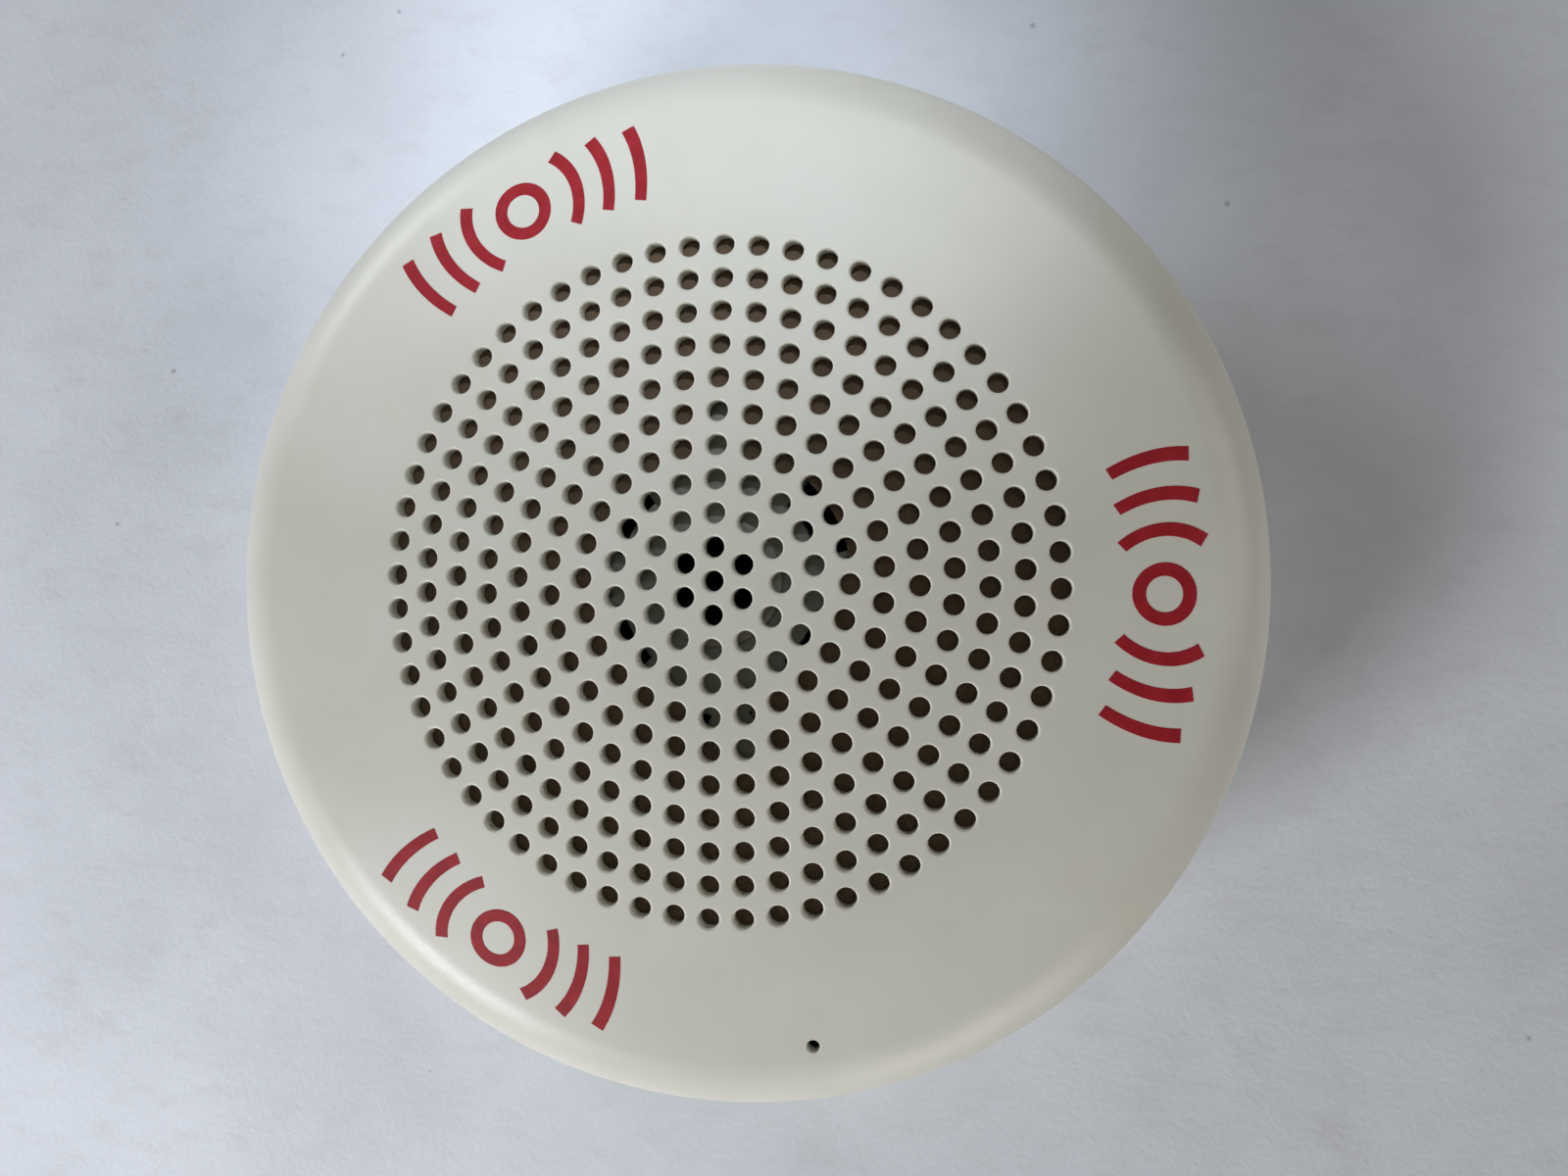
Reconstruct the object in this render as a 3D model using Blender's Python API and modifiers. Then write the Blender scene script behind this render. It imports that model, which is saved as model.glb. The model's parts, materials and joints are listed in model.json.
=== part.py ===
# Round ceiling loudspeaker sounder for a fire alarm: perforated front cover on a bayonet base,
# with a cone driver, line transformer and wiring board inside.
# Metres, +Z out of the front face, origin at the centre of the back that meets the ceiling.

import math

import bmesh
import bpy
from mathutils import Matrix, Vector

# Clearances
SEAT_GAP = 0.0003
RUN_GAP = 0.0006
WELD = 0.00001
JOIN = 0.0001
SHARP_ANGLE = math.radians(35)

# Front cover: a moulded shell with a gently coned face and a round shoulder
COVER_RADIUS = 0.0825
COVER_HEIGHT = 0.052
COVER_WALL = 0.0025
COVER_DRAFT = 0.0005
COVER_LIFT = 0.0006
FACE_SLOPE = 0.10
SHOULDER_RADIUS = 0.0105
HOLE_PITCH = 0.00508
HOLE_DIAMETER = 0.003175
HOLE_RINGS = 10
FLAT_RINGS = 5
PIN_HOLE_DIAMETER = 0.002
PIN_HOLE_INSET = 0.0112
PIN_HOLE_ANGLE = math.radians(-77)

# Bayonet lugs, three on the cover under three on the base
LUG_COUNT = 3
LUG_HEIGHT = 0.003
LUG_FLOOR = 0.0018
COVER_LUG_SPAN = math.radians(16)
BASE_LUG_SPAN = math.radians(24)
STOP_SLACK = math.radians(0.4)

# Centre bracket behind the grille, held by two staked pegs of the cover
BRACKET_RADIUS = 0.0204
BRACKET_WAIST = 0.0156
BRACKET_SHEET = 0.0016
BRACKET_DROP = 0.002
BRACKET_BORE = 0.0148
NOTCH_START = math.radians(14.5)
NOTCH_END = math.radians(49)
HUB_RADIUS = 0.0099
HUB_RISE = 0.001
ARM_WIDTH = 0.006
ARM_STEP = 0.0002
PAD_RADIUS = 0.0039
PEG_RINGS = 4.5
PEG_ANGLE = math.radians(96.3)
PEG_RADIUS = 0.0018
STAKE_RADIUS = 0.0012
STAKE_HEAD = 0.0020
STAKE_HEAD_HEIGHT = 0.0009

# Dust cloth against the back of the grille, open over the bracket
CLOTH_SHEET = 0.0005
CLOTH_OPENING = 0.039
CLOTH_SHIFT = 0.0015
CLOTH_MARGIN = 0.0004

# Base plate with its bayonet rim, posts and openings
BASE_SHEET = 0.0025
RIM_WALL = 0.0022
RIM_HEIGHT = 0.012
RIM_INSET = 0.0032
POST_COUNT = 4
POST_ANGLE = math.radians(40)
POST_TOP_RADIUS = 0.0038
POST_FOOT_RADIUS = 0.0046
POST_STANDOFF = 0.0055
BOX_SLOT_SPACING = 0.1174
BOX_SLOT_WIDTH = 0.0048
BOX_SLOT_LENGTH = 0.010
WIRE_ENTRY_DIAMETER = 0.018
WIRE_ENTRY_X = 0.0375

# Loudspeaker driver
DRIVER_RADIUS = 0.058
FLANGE_WIDTH = 0.0085
BASKET_SHEET = 0.001
BASKET_THROAT = 0.0155
BASKET_FLOOR_RADIUS = 0.0225
LANDING_RISE = 0.0033
LANDING_WIDTH = 0.0045
BASKET_NECK_DROP = 0.004
WINDOW_COUNT = 4
WINDOW_SPAN = math.radians(52)
WINDOW_MARGIN = 0.002
EAR_RADIUS = 0.0045
GASKET_WIDTH = 0.0045
GASKET_HEIGHT = 0.004
YOKE_LIFT = 0.0015
YOKE_RADIUS = 0.024
YOKE_PLATE = 0.004
MAGNET_RADIUS = 0.0275
MAGNET_BORE = 0.0165
MAGNET_HEIGHT = 0.0074
TOP_PLATE = 0.004
POLE_RADIUS = 0.0119
FORMER_WALL = 0.0005
COIL_BUILD = 0.0006
COIL_HEIGHT = 0.0075
COIL_TRAVEL = 0.0015
COIL_REST = 0.003
PAPER = 0.0007
SPIDER_RISE = 0.002
SPIDER_RIPPLE = 0.0008
CONE_NECK_LIFT = 0.0008
CONE_FLARE = 0.0012
CONE_LIP = 0.002
SURROUND_WIDTH = 0.008
SURROUND_DROP = 0.0026
SURROUND_RIPPLE = 0.0012
CAP_RADIUS = 0.0155
CAP_RISE = 0.0045

# Screws: shank radius, head radius, head height, length
SCREW_SHANK = 0.0015
SCREW_HEAD = 0.0031
SCREW_HEAD_HEIGHT = 0.002
SCREW_LENGTH = 0.012
SMALL_SHANK = 0.0011
SMALL_HEAD = 0.0022
SMALL_HEAD_HEIGHT = 0.0015
SMALL_LENGTH = 0.005

# Line transformer
CORE_LENGTH = 0.034
CORE_HEIGHT = 0.0285
CORE_STACK = 0.012
CORE_LEG = 0.0112
CORE_YOKE = 0.0056
BOBBIN_WALL = 0.001
COIL_OVERHANG = 0.0065
STRAP_SHEET = 0.001
STRAP_WIDTH = 0.011
STRAP_FOOT = 0.008
TRANSFORMER_INSET = 0.019

# Wiring board and what it carries
BOARD_SHEET = 0.0016
BOARD_LIFT = 0.0055
BOARD_DEPTH = 0.0205
BOARD_LENGTH = 0.042
BOARD_EDGE = 0.0045
STANDOFF_RADIUS = 0.0026
TERMINAL_PITCH = 0.00508
TERMINAL_COUNT = 4
TERMINAL_DEPTH = 0.0086
TERMINAL_HEIGHT = 0.0105
TERMINAL_SCREW = 0.0018
TERMINAL_SCREW_SETBACK = 0.0052
TERMINAL_SCREW_SLOT = 0.0006
TERMINAL_WELL = 0.0032
TERMINAL_MOUTH = 0.003
TERMINAL_MOUTH_DEPTH = 0.0028
CAPACITOR_RADIUS = 0.0045
CAPACITOR_HEIGHT = 0.016
CAPACITOR_GAP = 0.001
SELECTOR_SIDE = 0.010
SELECTOR_HEIGHT = 0.005
SELECTOR_EDGE = 0.0035
ROTOR_RADIUS = 0.0036
ROTOR_HEIGHT = 0.003
ROTOR_SLOT = 0.0012
ROTOR_SLOT_TAIL = 0.0014
SWITCH_WIDTH = 0.0054
SWITCH_LENGTH = 0.012
SWITCH_HEIGHT = 0.005
SWITCH_EDGE = 0.002
SLIDER_WIDTH = 0.0022
SLIDER_LENGTH = 0.003
SLIDER_HEIGHT = 0.0045
SLIDER_TRAVEL = 0.0025
SLIDER_DEPTH = 0.002
WIRE_RADIUS = 0.0008
WIRE_PITCH = 0.0024
WIRE_RISE = 0.003
WIRE_ROUND = 0.006
WIRE_LIFT = 0.004
WIRE_LOOP_START = math.radians(45)
WIRE_LOOP_END = math.radians(135)
LEAD_PITCH = 0.003
LEAD_START = math.radians(190)
LEAD_END = math.radians(250)
LEAD_SPREAD = math.radians(17)
WIRE_LOOP_STEPS = 3
TAG_STRIP_WIDTH = 0.014
TAG_STRIP_HEIGHT = 0.009
TAG_STRIP_SHEET = 0.0012
TAG_SPACING = 0.007
TAG_WIDTH = 0.003
TAG_REACH = 0.005
TAG_SHEET = 0.0006

# Facets
COVER_SEGMENTS = 44
SHOULDER_STEPS = 4
HOLE_SIDES = 6
TURN_SEGMENTS = 20
MOTOR_SEGMENTS = 16
BASE_SEGMENTS = 32
ROUND_SIDES = 12
SMALL_SIDES = 6
SCREW_SIDES = 6

# Heights and radii that follow from the sizes above
FLAT_RADIUS = FLAT_RINGS * HOLE_PITCH
GRILLE_RADIUS = HOLE_RINGS * HOLE_PITCH + HOLE_PITCH / 2
COVER_INNER = COVER_RADIUS - COVER_WALL
BASE_RADIUS = COVER_INNER - RUN_GAP
RIM_OUTER = BASE_RADIUS - RIM_INSET
RIM_INNER = RIM_OUTER - RIM_WALL


def face_height(radius):
    return COVER_HEIGHT - FACE_SLOPE * max(0.0, radius - FLAT_RADIUS)


GRILLE_BACK = COVER_HEIGHT - COVER_WALL
GASKET_INNER = DRIVER_RADIUS - GASKET_WIDTH
GASKET_BOTTOM = face_height(DRIVER_RADIUS) - COVER_WALL - SEAT_GAP - GASKET_HEIGHT
FLANGE_TOP = GASKET_BOTTOM - SEAT_GAP
FLANGE_INNER = DRIVER_RADIUS - FLANGE_WIDTH
POST_CIRCLE = DRIVER_RADIUS + POST_STANDOFF
POST_TOP = FLANGE_TOP - BASKET_SHEET - SEAT_GAP
YOKE_BOTTOM = BASE_SHEET + YOKE_LIFT
YOKE_TOP = YOKE_BOTTOM + YOKE_PLATE
MAGNET_TOP = YOKE_TOP + SEAT_GAP + MAGNET_HEIGHT
TOP_PLATE_TOP = MAGNET_TOP + SEAT_GAP + TOP_PLATE
BASKET_FLOOR = TOP_PLATE_TOP + SEAT_GAP + BASKET_SHEET
LANDING = BASKET_FLOOR + LANDING_RISE
LANDING_RADIUS = BASKET_FLOOR_RADIUS + LANDING_WIDTH
FORMER_INNER = POLE_RADIUS + RUN_GAP
FORMER_OUTER = FORMER_INNER + FORMER_WALL
COIL_INNER = FORMER_OUTER + SEAT_GAP
COIL_OUTER = COIL_INNER + COIL_BUILD
TOP_PLATE_BORE = COIL_OUTER + RUN_GAP
SPIDER_BOTTOM = LANDING + SEAT_GAP
SPIDER_HUB = SPIDER_BOTTOM + SPIDER_RISE
CONE_NECK = SPIDER_HUB + PAPER + CONE_NECK_LIFT
FORMER_TOP = CONE_NECK + PAPER
SURROUND_TOP = FLANGE_TOP + SEAT_GAP + PAPER
SURROUND_INNER = FLANGE_INNER - SURROUND_WIDTH
CONE_RIM = SURROUND_TOP - PAPER - SURROUND_DROP - SEAT_GAP
CONE_INNER = FORMER_OUTER + SEAT_GAP
CONE_RADIUS = SURROUND_INNER + CONE_LIP
BOARD_BOTTOM = BASE_SHEET + BOARD_LIFT
BOARD_TOP = BOARD_BOTTOM + BOARD_SHEET
BOARD_FLOOR = BOARD_TOP + SEAT_GAP
BOARD_OUTER = RIM_INNER - BOARD_EDGE
BOARD_INNER = BOARD_OUTER - BOARD_DEPTH
TERMINAL_LENGTH = TERMINAL_COUNT * TERMINAL_PITCH
TRANSFORMER_X = -(RIM_INNER - TRANSFORMER_INSET)
CORE_BOTTOM = BASE_SHEET + SEAT_GAP
CORE_TOP = CORE_BOTTOM + CORE_HEIGHT
WINDOW_WIDTH = (CORE_LENGTH - CORE_LEG) / 2 - CORE_YOKE
BRACKET_TOP = GRILLE_BACK - BRACKET_DROP
BRACKET_BOTTOM = BRACKET_TOP - BRACKET_SHEET
ARM_TOP = BRACKET_TOP - ARM_STEP
ARM_BOTTOM = BRACKET_BOTTOM + ARM_STEP
STAKE_HEAD_TOP = ARM_BOTTOM - SEAT_GAP
PEG_CIRCLE = PEG_RINGS * HOLE_PITCH
CLOTH_RADIUS = GASKET_INNER * math.cos(math.pi / TURN_SEGMENTS) - SEAT_GAP
BOARD_END = BOARD_LENGTH / 2
TERMINAL_LOW = (BOARD_INNER + SEAT_GAP, -BOARD_END + SEAT_GAP)
SELECTOR_AT = (BOARD_OUTER - SELECTOR_SIDE / 2 - SEAT_GAP, BOARD_END - SELECTOR_SIDE / 2 - SELECTOR_EDGE)
SWITCH_AT = (BOARD_INNER + SWITCH_WIDTH / 2 + SWITCH_EDGE, SELECTOR_AT[1])
CAPACITOR_AT = (BOARD_OUTER - CAPACITOR_RADIUS - SEAT_GAP,
                -BOARD_END + SMALL_HEAD * 2 + CAPACITOR_RADIUS + CAPACITOR_GAP)

# Colour, roughness and metallic value of each material
MATERIALS = {
    "cover_plastic": ((0.72, 0.70, 0.64), 0.42, 0.0),
    "bracket_plastic": ((0.44, 0.41, 0.35), 0.55, 0.0),
    "grille_cloth": ((0.10, 0.078, 0.062), 0.95, 0.0),
    "base_plastic": ((0.66, 0.65, 0.60), 0.50, 0.0),
    "basket_steel": ((0.30, 0.31, 0.32), 0.45, 1.0),
    "bright_steel": ((0.60, 0.60, 0.60), 0.30, 1.0),
    "gasket_board": ((0.25, 0.17, 0.11), 0.90, 0.0),
    "cone_paper": ((0.030, 0.024, 0.020), 0.90, 0.0),
    "cap_felt": ((0.012, 0.011, 0.011), 0.85, 0.0),
    "surround_cloth": ((0.12, 0.085, 0.06), 0.90, 0.0),
    "spider_cloth": ((0.50, 0.34, 0.14), 0.90, 0.0),
    "former_paper": ((0.42, 0.28, 0.14), 0.80, 0.0),
    "copper_wire": ((0.55, 0.22, 0.10), 0.35, 1.0),
    "ferrite": ((0.045, 0.045, 0.048), 0.70, 0.0),
    "lamination_steel": ((0.20, 0.20, 0.21), 0.50, 1.0),
    "bobbin_nylon": ((0.70, 0.68, 0.58), 0.50, 0.0),
    "winding_tape": ((0.62, 0.47, 0.10), 0.45, 0.0),
    "board_laminate": ((0.05, 0.20, 0.09), 0.40, 0.0),
    "terminal_plastic": ((0.05, 0.16, 0.10), 0.45, 0.0),
    "capacitor_sleeve": ((0.03, 0.05, 0.14), 0.40, 0.0),
    "switch_plastic": ((0.02, 0.02, 0.02), 0.45, 0.0),
    "rotor_plastic": ((0.75, 0.74, 0.70), 0.45, 0.0),
    "tag_fibre": ((0.30, 0.14, 0.06), 0.75, 0.0),
    "wire_red": ((0.50, 0.03, 0.03), 0.45, 0.0),
    "wire_black": ((0.02, 0.02, 0.02), 0.45, 0.0),
}


# Scene and helpers

def clear_scene():
    for old in list(bpy.data.objects):
        bpy.data.objects.remove(old)


def new_collection(name):
    made = bpy.data.collections.new(name)
    bpy.context.scene.collection.children.link(made)
    return made


def make_materials():
    for name, (colour, roughness, metallic) in MATERIALS.items():
        material = bpy.data.materials.new(name)
        material.use_nodes = True
        shader = material.node_tree.nodes["Principled BSDF"]
        shader.inputs["Base Color"].default_value = (*colour, 1)
        shader.inputs["Roughness"].default_value = roughness
        shader.inputs["Metallic"].default_value = metallic


clear_scene()
make_materials()
sounder = new_collection("ceiling_sounder")
helpers = new_collection("ceiling_sounder_helpers")


# An object from a mesh: a part when it has a material, else a hidden helper
def place(name, mesh, material=None, location=(0, 0, 0), turn=0.0):
    made = bpy.data.objects.new(name, mesh)
    made.location = location
    made.rotation_euler = (0, 0, turn)
    if material:
        if not mesh.materials:
            mesh.materials.append(bpy.data.materials[material])
        sounder.objects.link(made)
    else:
        made.hide_render = True
        made.display_type = "WIRE"
        helpers.objects.link(made)
    return made


def finish_mesh(bm, name):
    mesh = bpy.data.meshes.new(name)
    bm.to_mesh(mesh)
    bm.free()
    mesh.shade_smooth()
    return mesh


# Keeps edges sharper than the limit crisp on a piece that is otherwise shaded smooth
def edge_group():
    group = bpy.data.node_groups.new("smooth_by_angle", "GeometryNodeTree")
    for side in ("INPUT", "OUTPUT"):
        group.interface.new_socket("Geometry", in_out=side, socket_type="NodeSocketGeometry")
    start = group.nodes.new("NodeGroupInput")
    angle = group.nodes.new("GeometryNodeInputMeshEdgeAngle")
    limit = group.nodes.new("FunctionNodeCompare")
    limit.operation = "LESS_EQUAL"
    limit.inputs["B"].default_value = SHARP_ANGLE
    shade = group.nodes.new("GeometryNodeSetShadeSmooth")
    shade.domain = "EDGE"
    end = group.nodes.new("NodeGroupOutput")
    group.links.new(angle.outputs["Unsigned Angle"], limit.inputs["A"])
    group.links.new(start.outputs["Geometry"], shade.inputs["Geometry"])
    group.links.new(limit.outputs["Result"], shade.inputs["Shade Smooth"])
    group.links.new(shade.outputs["Geometry"], end.inputs["Geometry"])
    return group


def shade_parts():
    group = edge_group()
    for part in sounder.objects:
        if part.type == "MESH":
            part.modifiers.new("edges", "NODES").node_group = group


def boolean(target, tool, operation):
    step = target.modifiers.new(tool.name, "BOOLEAN")
    step.operation = operation
    step.object = tool


# A profile of (radius, height) pairs, run down its outer side, turned about Z
def turned(name, profile, segments, material=None, closed=True, location=(0, 0, 0)):
    bm = bmesh.new()
    verts = [bm.verts.new((radius, 0, height)) for radius, height in profile]
    for first, second in zip(verts, verts[1:]):
        bm.edges.new((first, second))
    if closed:
        bm.edges.new((verts[-1], verts[0]))
    made = place(name, finish_mesh(bm, name), material, location)
    screw = made.modifiers.new("turn", "SCREW")
    screw.steps = segments
    screw.render_steps = segments
    screw.use_merge_vertices = True
    screw.merge_threshold = WELD
    screw.use_smooth_shade = True
    return made


def ring(name, inner, outer, bottom, top, segments, material=None):
    profile = [(outer, top), (outer, bottom), (inner, bottom), (inner, top)]
    return turned(name, profile, segments, material)


# A thin turned sheet: the profile is its upper side, run from the rim inwards, with the thickness below
def sheet(name, profile, thickness, segments, material):
    made = turned(name, profile, segments, material, closed=False)
    shell = made.modifiers.new("sheet", "SOLIDIFY")
    shell.thickness = thickness
    shell.offset = 1
    shell.use_even_offset = True
    return made


# Upright round bars, one for each (x, y) place, as one mesh
def bars(name, places, foot, head, bottom, top, sides, material=None):
    bm = bmesh.new()
    for x, y in places:
        middle = Matrix.Translation((x, y, (bottom + top) / 2))
        bmesh.ops.create_cone(bm, cap_ends=True, segments=sides, radius1=foot, radius2=head,
                              depth=top - bottom, matrix=middle)
    return place(name, finish_mesh(bm, name), material)


# A block from its two opposite corners
def block(name, low, high, material=None, location=(0, 0, 0)):
    low, high = Vector(low), Vector(high)
    size = high - low
    bm = bmesh.new()
    shape = Matrix.Translation((low + high) / 2) @ Matrix.Diagonal((*size, 1))
    bmesh.ops.create_cube(bm, size=1, matrix=shape)
    return place(name, finish_mesh(bm, name), material, location)


# Flat outlines, the later ones inside the first being holes, drawn as a filled 2D curve
def plate(name, outlines, bottom, top, material=None, turn=0.0):
    curve = bpy.data.curves.new(name, "CURVE")
    curve.dimensions = "2D"
    curve.fill_mode = "BOTH"
    curve.extrude = (top - bottom) / 2
    for outline in outlines:
        spline = curve.splines.new("POLY")
        spline.points.add(len(outline) - 1)
        for point, (x, y) in zip(spline.points, outline):
            point.co = (x, y, 0, 1)
        spline.use_cyclic_u = True
    drawn = bpy.data.objects.new(name, curve)
    sounder.objects.link(drawn)
    seen = drawn.evaluated_get(bpy.context.evaluated_depsgraph_get())
    bm = bmesh.new()
    bm.from_mesh(bpy.data.meshes.new_from_object(seen))
    bpy.data.objects.remove(drawn)
    bmesh.ops.remove_doubles(bm, verts=bm.verts, dist=WELD)
    return place(name, finish_mesh(bm, name), material, (0, 0, (bottom + top) / 2), turn)


def arc(radius, start, end, steps, centre=(0, 0)):
    angles = [start + (end - start) * step / steps for step in range(steps + 1)]
    return [(centre[0] + radius * math.cos(a), centre[1] + radius * math.sin(a)) for a in angles]


def circle(radius, sides, centre=(0, 0)):
    return arc(radius, 0, math.tau * (sides - 1) / sides, sides - 1, centre)


def sector(inner, outer, middle, span, steps):
    start, end = middle - span / 2, middle + span / 2
    return arc(outer, start, end, steps) + arc(inner, end, start, steps)


def rectangle(x0, y0, x1, y1):
    return [(x0, y0), (x1, y0), (x1, y1), (x0, y1)]


def polar(radius, angle):
    return radius * math.cos(angle), radius * math.sin(angle)


# A round wire along a smooth curve through its route
def wire(name, route, material, steps=2):
    points = [Vector(p) for p in route]
    ends = [2 * points[0] - points[1]] + points + [2 * points[-1] - points[-2]]
    smooth = []
    for a, b, c, d in zip(ends, ends[1:], ends[2:], ends[3:]):
        for step in range(steps):
            t = step / steps
            smooth.append(b + (c - a) * (t / 2) + (2 * a - 5 * b + 4 * c - d) * (t * t / 2)
                          + (3 * b - a - 3 * c + d) * (t ** 3 / 2))
    smooth.append(points[-1])
    curve = bpy.data.curves.new(name, "CURVE")
    curve.dimensions = "3D"
    curve.bevel_depth = WIRE_RADIUS
    curve.bevel_resolution = 1
    curve.use_fill_caps = True
    spline = curve.splines.new("POLY")
    spline.points.add(len(smooth) - 1)
    for point, place_at in zip(spline.points, smooth):
        point.co = (*place_at, 1)
    curve.materials.append(bpy.data.materials[material])
    made = bpy.data.objects.new(name, curve)
    sounder.objects.link(made)
    return made


# A pan-head screw whose head rests at the given height
def screw(name, x, y, seat, shank, head, head_height, length):
    profile = [(0, head_height), (head, head_height), (head, 0), (shank, 0), (shank, -length), (0, -length)]
    turned(name, profile, SCREW_SIDES, "bright_steel", closed=False, location=(x, y, seat))


# Front cover: perforated face, skirt, lugs and stakes

def lug_angle(number):
    return math.pi / 3 + math.tau * number / LUG_COUNT


def peg_places():
    return [polar(PEG_CIRCLE, PEG_ANGLE + math.pi * k) for k in range(2)]


def cover_profile():
    slope = math.atan(FACE_SLOPE)
    axis = COVER_RADIUS - SHOULDER_RADIUS
    start = axis + SHOULDER_RADIUS * math.sin(slope)
    centre = face_height(start) - SHOULDER_RADIUS * math.cos(slope)
    shoulder = arc(SHOULDER_RADIUS, math.pi / 2 - slope, 0, SHOULDER_STEPS, (axis, centre))
    return shoulder + [(COVER_RADIUS + COVER_DRAFT, COVER_LIFT)]


# Six-sided holes of the round hole's area, 6 more in each ring
def grille_face(bm):
    hole_radius = HOLE_DIAMETER / 2 * math.sqrt(math.tau / HOLE_SIDES / math.sin(math.tau / HOLE_SIDES))
    rim = bmesh.ops.create_circle(bm, segments=COVER_SEGMENTS, radius=GRILLE_RADIUS)["verts"]
    for number in range(HOLE_RINGS + 1):
        count = max(1, 6 * number)
        for hole in range(count):
            turn = Matrix.Rotation(math.pi / 2 + math.tau * hole / count, 4, "Z")
            out = Matrix.Translation((number * HOLE_PITCH, 0, 0))
            bmesh.ops.create_circle(bm, segments=HOLE_SIDES, radius=hole_radius, matrix=turn @ out)
    bmesh.ops.triangle_fill(bm, use_beauty=True, edges=bm.edges, normal=(0, 0, 1))
    for vert in bm.verts:
        vert.co.z = face_height(vert.co.xy.length)
    return rim


def cover_surface():
    bm = bmesh.new()
    rim = set(grille_face(bm))
    edges = [edge for edge in bm.edges if edge.is_boundary and rim.issuperset(edge.verts)]
    for radius, height in cover_profile():
        made = bmesh.ops.extrude_edge_only(bm, edges=edges)["geom"]
        fresh = {item for item in made if isinstance(item, bmesh.types.BMVert)}
        edges = [item for item in made if isinstance(item, bmesh.types.BMEdge)]
        edges = [edge for edge in edges if fresh.issuperset(edge.verts)]
        for vert in fresh:
            vert.co = (*(vert.co.xy.normalized() * radius), height)
    bmesh.ops.recalc_face_normals(bm, faces=bm.faces)
    if sum(face.normal.z for face in bm.faces) < 0:
        bmesh.ops.reverse_faces(bm, faces=bm.faces)
    return finish_mesh(bm, "front_cover")


def make_cover():
    cover = place("front_cover", cover_surface(), "cover_plastic")
    shell = cover.modifiers.new("wall", "SOLIDIFY")
    shell.thickness = COVER_WALL
    shell.offset = -1
    shell.use_even_offset = True
    lug_bottom = BASE_SHEET + LUG_FLOOR
    outlines = [sector(RIM_OUTER + RUN_GAP, COVER_INNER + COVER_WALL / 2, lug_angle(k), COVER_LUG_SPAN, 4)
                for k in range(LUG_COUNT)]
    boolean(cover, plate("cover_lugs", outlines, lug_bottom, lug_bottom + LUG_HEIGHT), "UNION")
    stake_profile = [(0, GRILLE_BACK + COVER_WALL / 2), (PEG_RADIUS, GRILLE_BACK + COVER_WALL / 2),
                     (PEG_RADIUS, ARM_TOP + SEAT_GAP), (STAKE_RADIUS, ARM_TOP + SEAT_GAP),
                     (STAKE_RADIUS, STAKE_HEAD_TOP), (STAKE_HEAD, STAKE_HEAD_TOP),
                     (STAKE_HEAD, STAKE_HEAD_TOP - STAKE_HEAD_HEIGHT),
                     (0, STAKE_HEAD_TOP - STAKE_HEAD_HEIGHT)]
    for number, (x, y) in enumerate(peg_places(), 1):
        boolean(cover, turned(f"stake_{number}", stake_profile, SMALL_SIDES, closed=False,
                              location=(x, y, 0)), "UNION")
    pin_at = polar(COVER_RADIUS - PIN_HOLE_INSET, PIN_HOLE_ANGLE)
    pin_radius = PIN_HOLE_DIAMETER / 2
    boolean(cover, bars("pin_hole", [pin_at], pin_radius, pin_radius, GRILLE_BACK - 4 * COVER_WALL,
                        COVER_HEIGHT, SMALL_SIDES), "DIFFERENCE")


# Centre bracket: a disc with four notches, a hub and two arms with staked pads

def bracket_outline():
    points = []
    for turn in (0, math.pi):
        first, second = turn + NOTCH_START, turn + NOTCH_END
        third, fourth = turn + math.pi - NOTCH_END, turn + math.pi - NOTCH_START
        points += arc(BRACKET_RADIUS, turn - NOTCH_START, first, 4)
        points += arc(BRACKET_WAIST, first, second, 4)
        points += arc(BRACKET_RADIUS, second, third, 8)
        points += arc(BRACKET_WAIST, third, fourth, 4)
    return points


def arm_outline(arm):
    half = ARM_WIDTH / 2
    pad_turn = math.asin(half / PAD_RADIUS)
    foot = math.hypot(HUB_RADIUS, half)
    foot_turn = math.atan2(half, HUB_RADIUS)
    pad = arc(PAD_RADIUS, arm - math.pi + pad_turn, arm + math.pi - pad_turn, 8, polar(PEG_CIRCLE, arm))
    return pad + [polar(foot, arm + foot_turn), polar(foot, arm - foot_turn)]


def make_bracket():
    bore = circle(BRACKET_BORE / 2, MOTOR_SEGMENTS)
    bracket = plate("centre_bracket", [bracket_outline(), bore], BRACKET_BOTTOM, BRACKET_TOP,
                    "bracket_plastic")
    arms = [arm_outline(PEG_ANGLE + math.pi * k) for k in range(2)]
    boolean(bracket, plate("bracket_arms", arms, ARM_BOTTOM, ARM_TOP), "UNION")
    hub = ring("bracket_hub", BRACKET_BORE / 2, HUB_RADIUS, BRACKET_TOP - BRACKET_SHEET / 2,
               BRACKET_TOP + HUB_RISE, MOTOR_SEGMENTS)
    boolean(bracket, hub, "UNION")
    hole = STAKE_RADIUS + SEAT_GAP
    boolean(bracket, bars("stake_holes", peg_places(), hole, hole, STAKE_HEAD_TOP, GRILLE_BACK, ROUND_SIDES),
            "DIFFERENCE")


# Dust cloth: a sheet that follows the back of the grille, cut out over the bracket and its pads

def make_cloth():
    profile = [(radius, face_height(radius) - COVER_WALL - SEAT_GAP)
               for radius in (CLOTH_RADIUS, FLAT_RADIUS, CLOTH_OPENING / 4)]
    cloth = sheet("grille_cloth", profile, CLOTH_SHEET, COVER_SEGMENTS, "grille_cloth")
    opening = CLOTH_OPENING / 2
    boolean(cloth, bars("cloth_opening", [(0, CLOTH_SHIFT)], opening, opening, BRACKET_TOP, COVER_HEIGHT,
                        BASE_SEGMENTS), "DIFFERENCE")
    notch = PAD_RADIUS + CLOTH_MARGIN
    boolean(cloth, bars("cloth_notches", peg_places(), notch, notch, BRACKET_TOP, COVER_HEIGHT, ROUND_SIDES),
            "DIFFERENCE")


# Base plate: disc with a bayonet rim, posts for the driver, standoffs and openings

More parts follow.
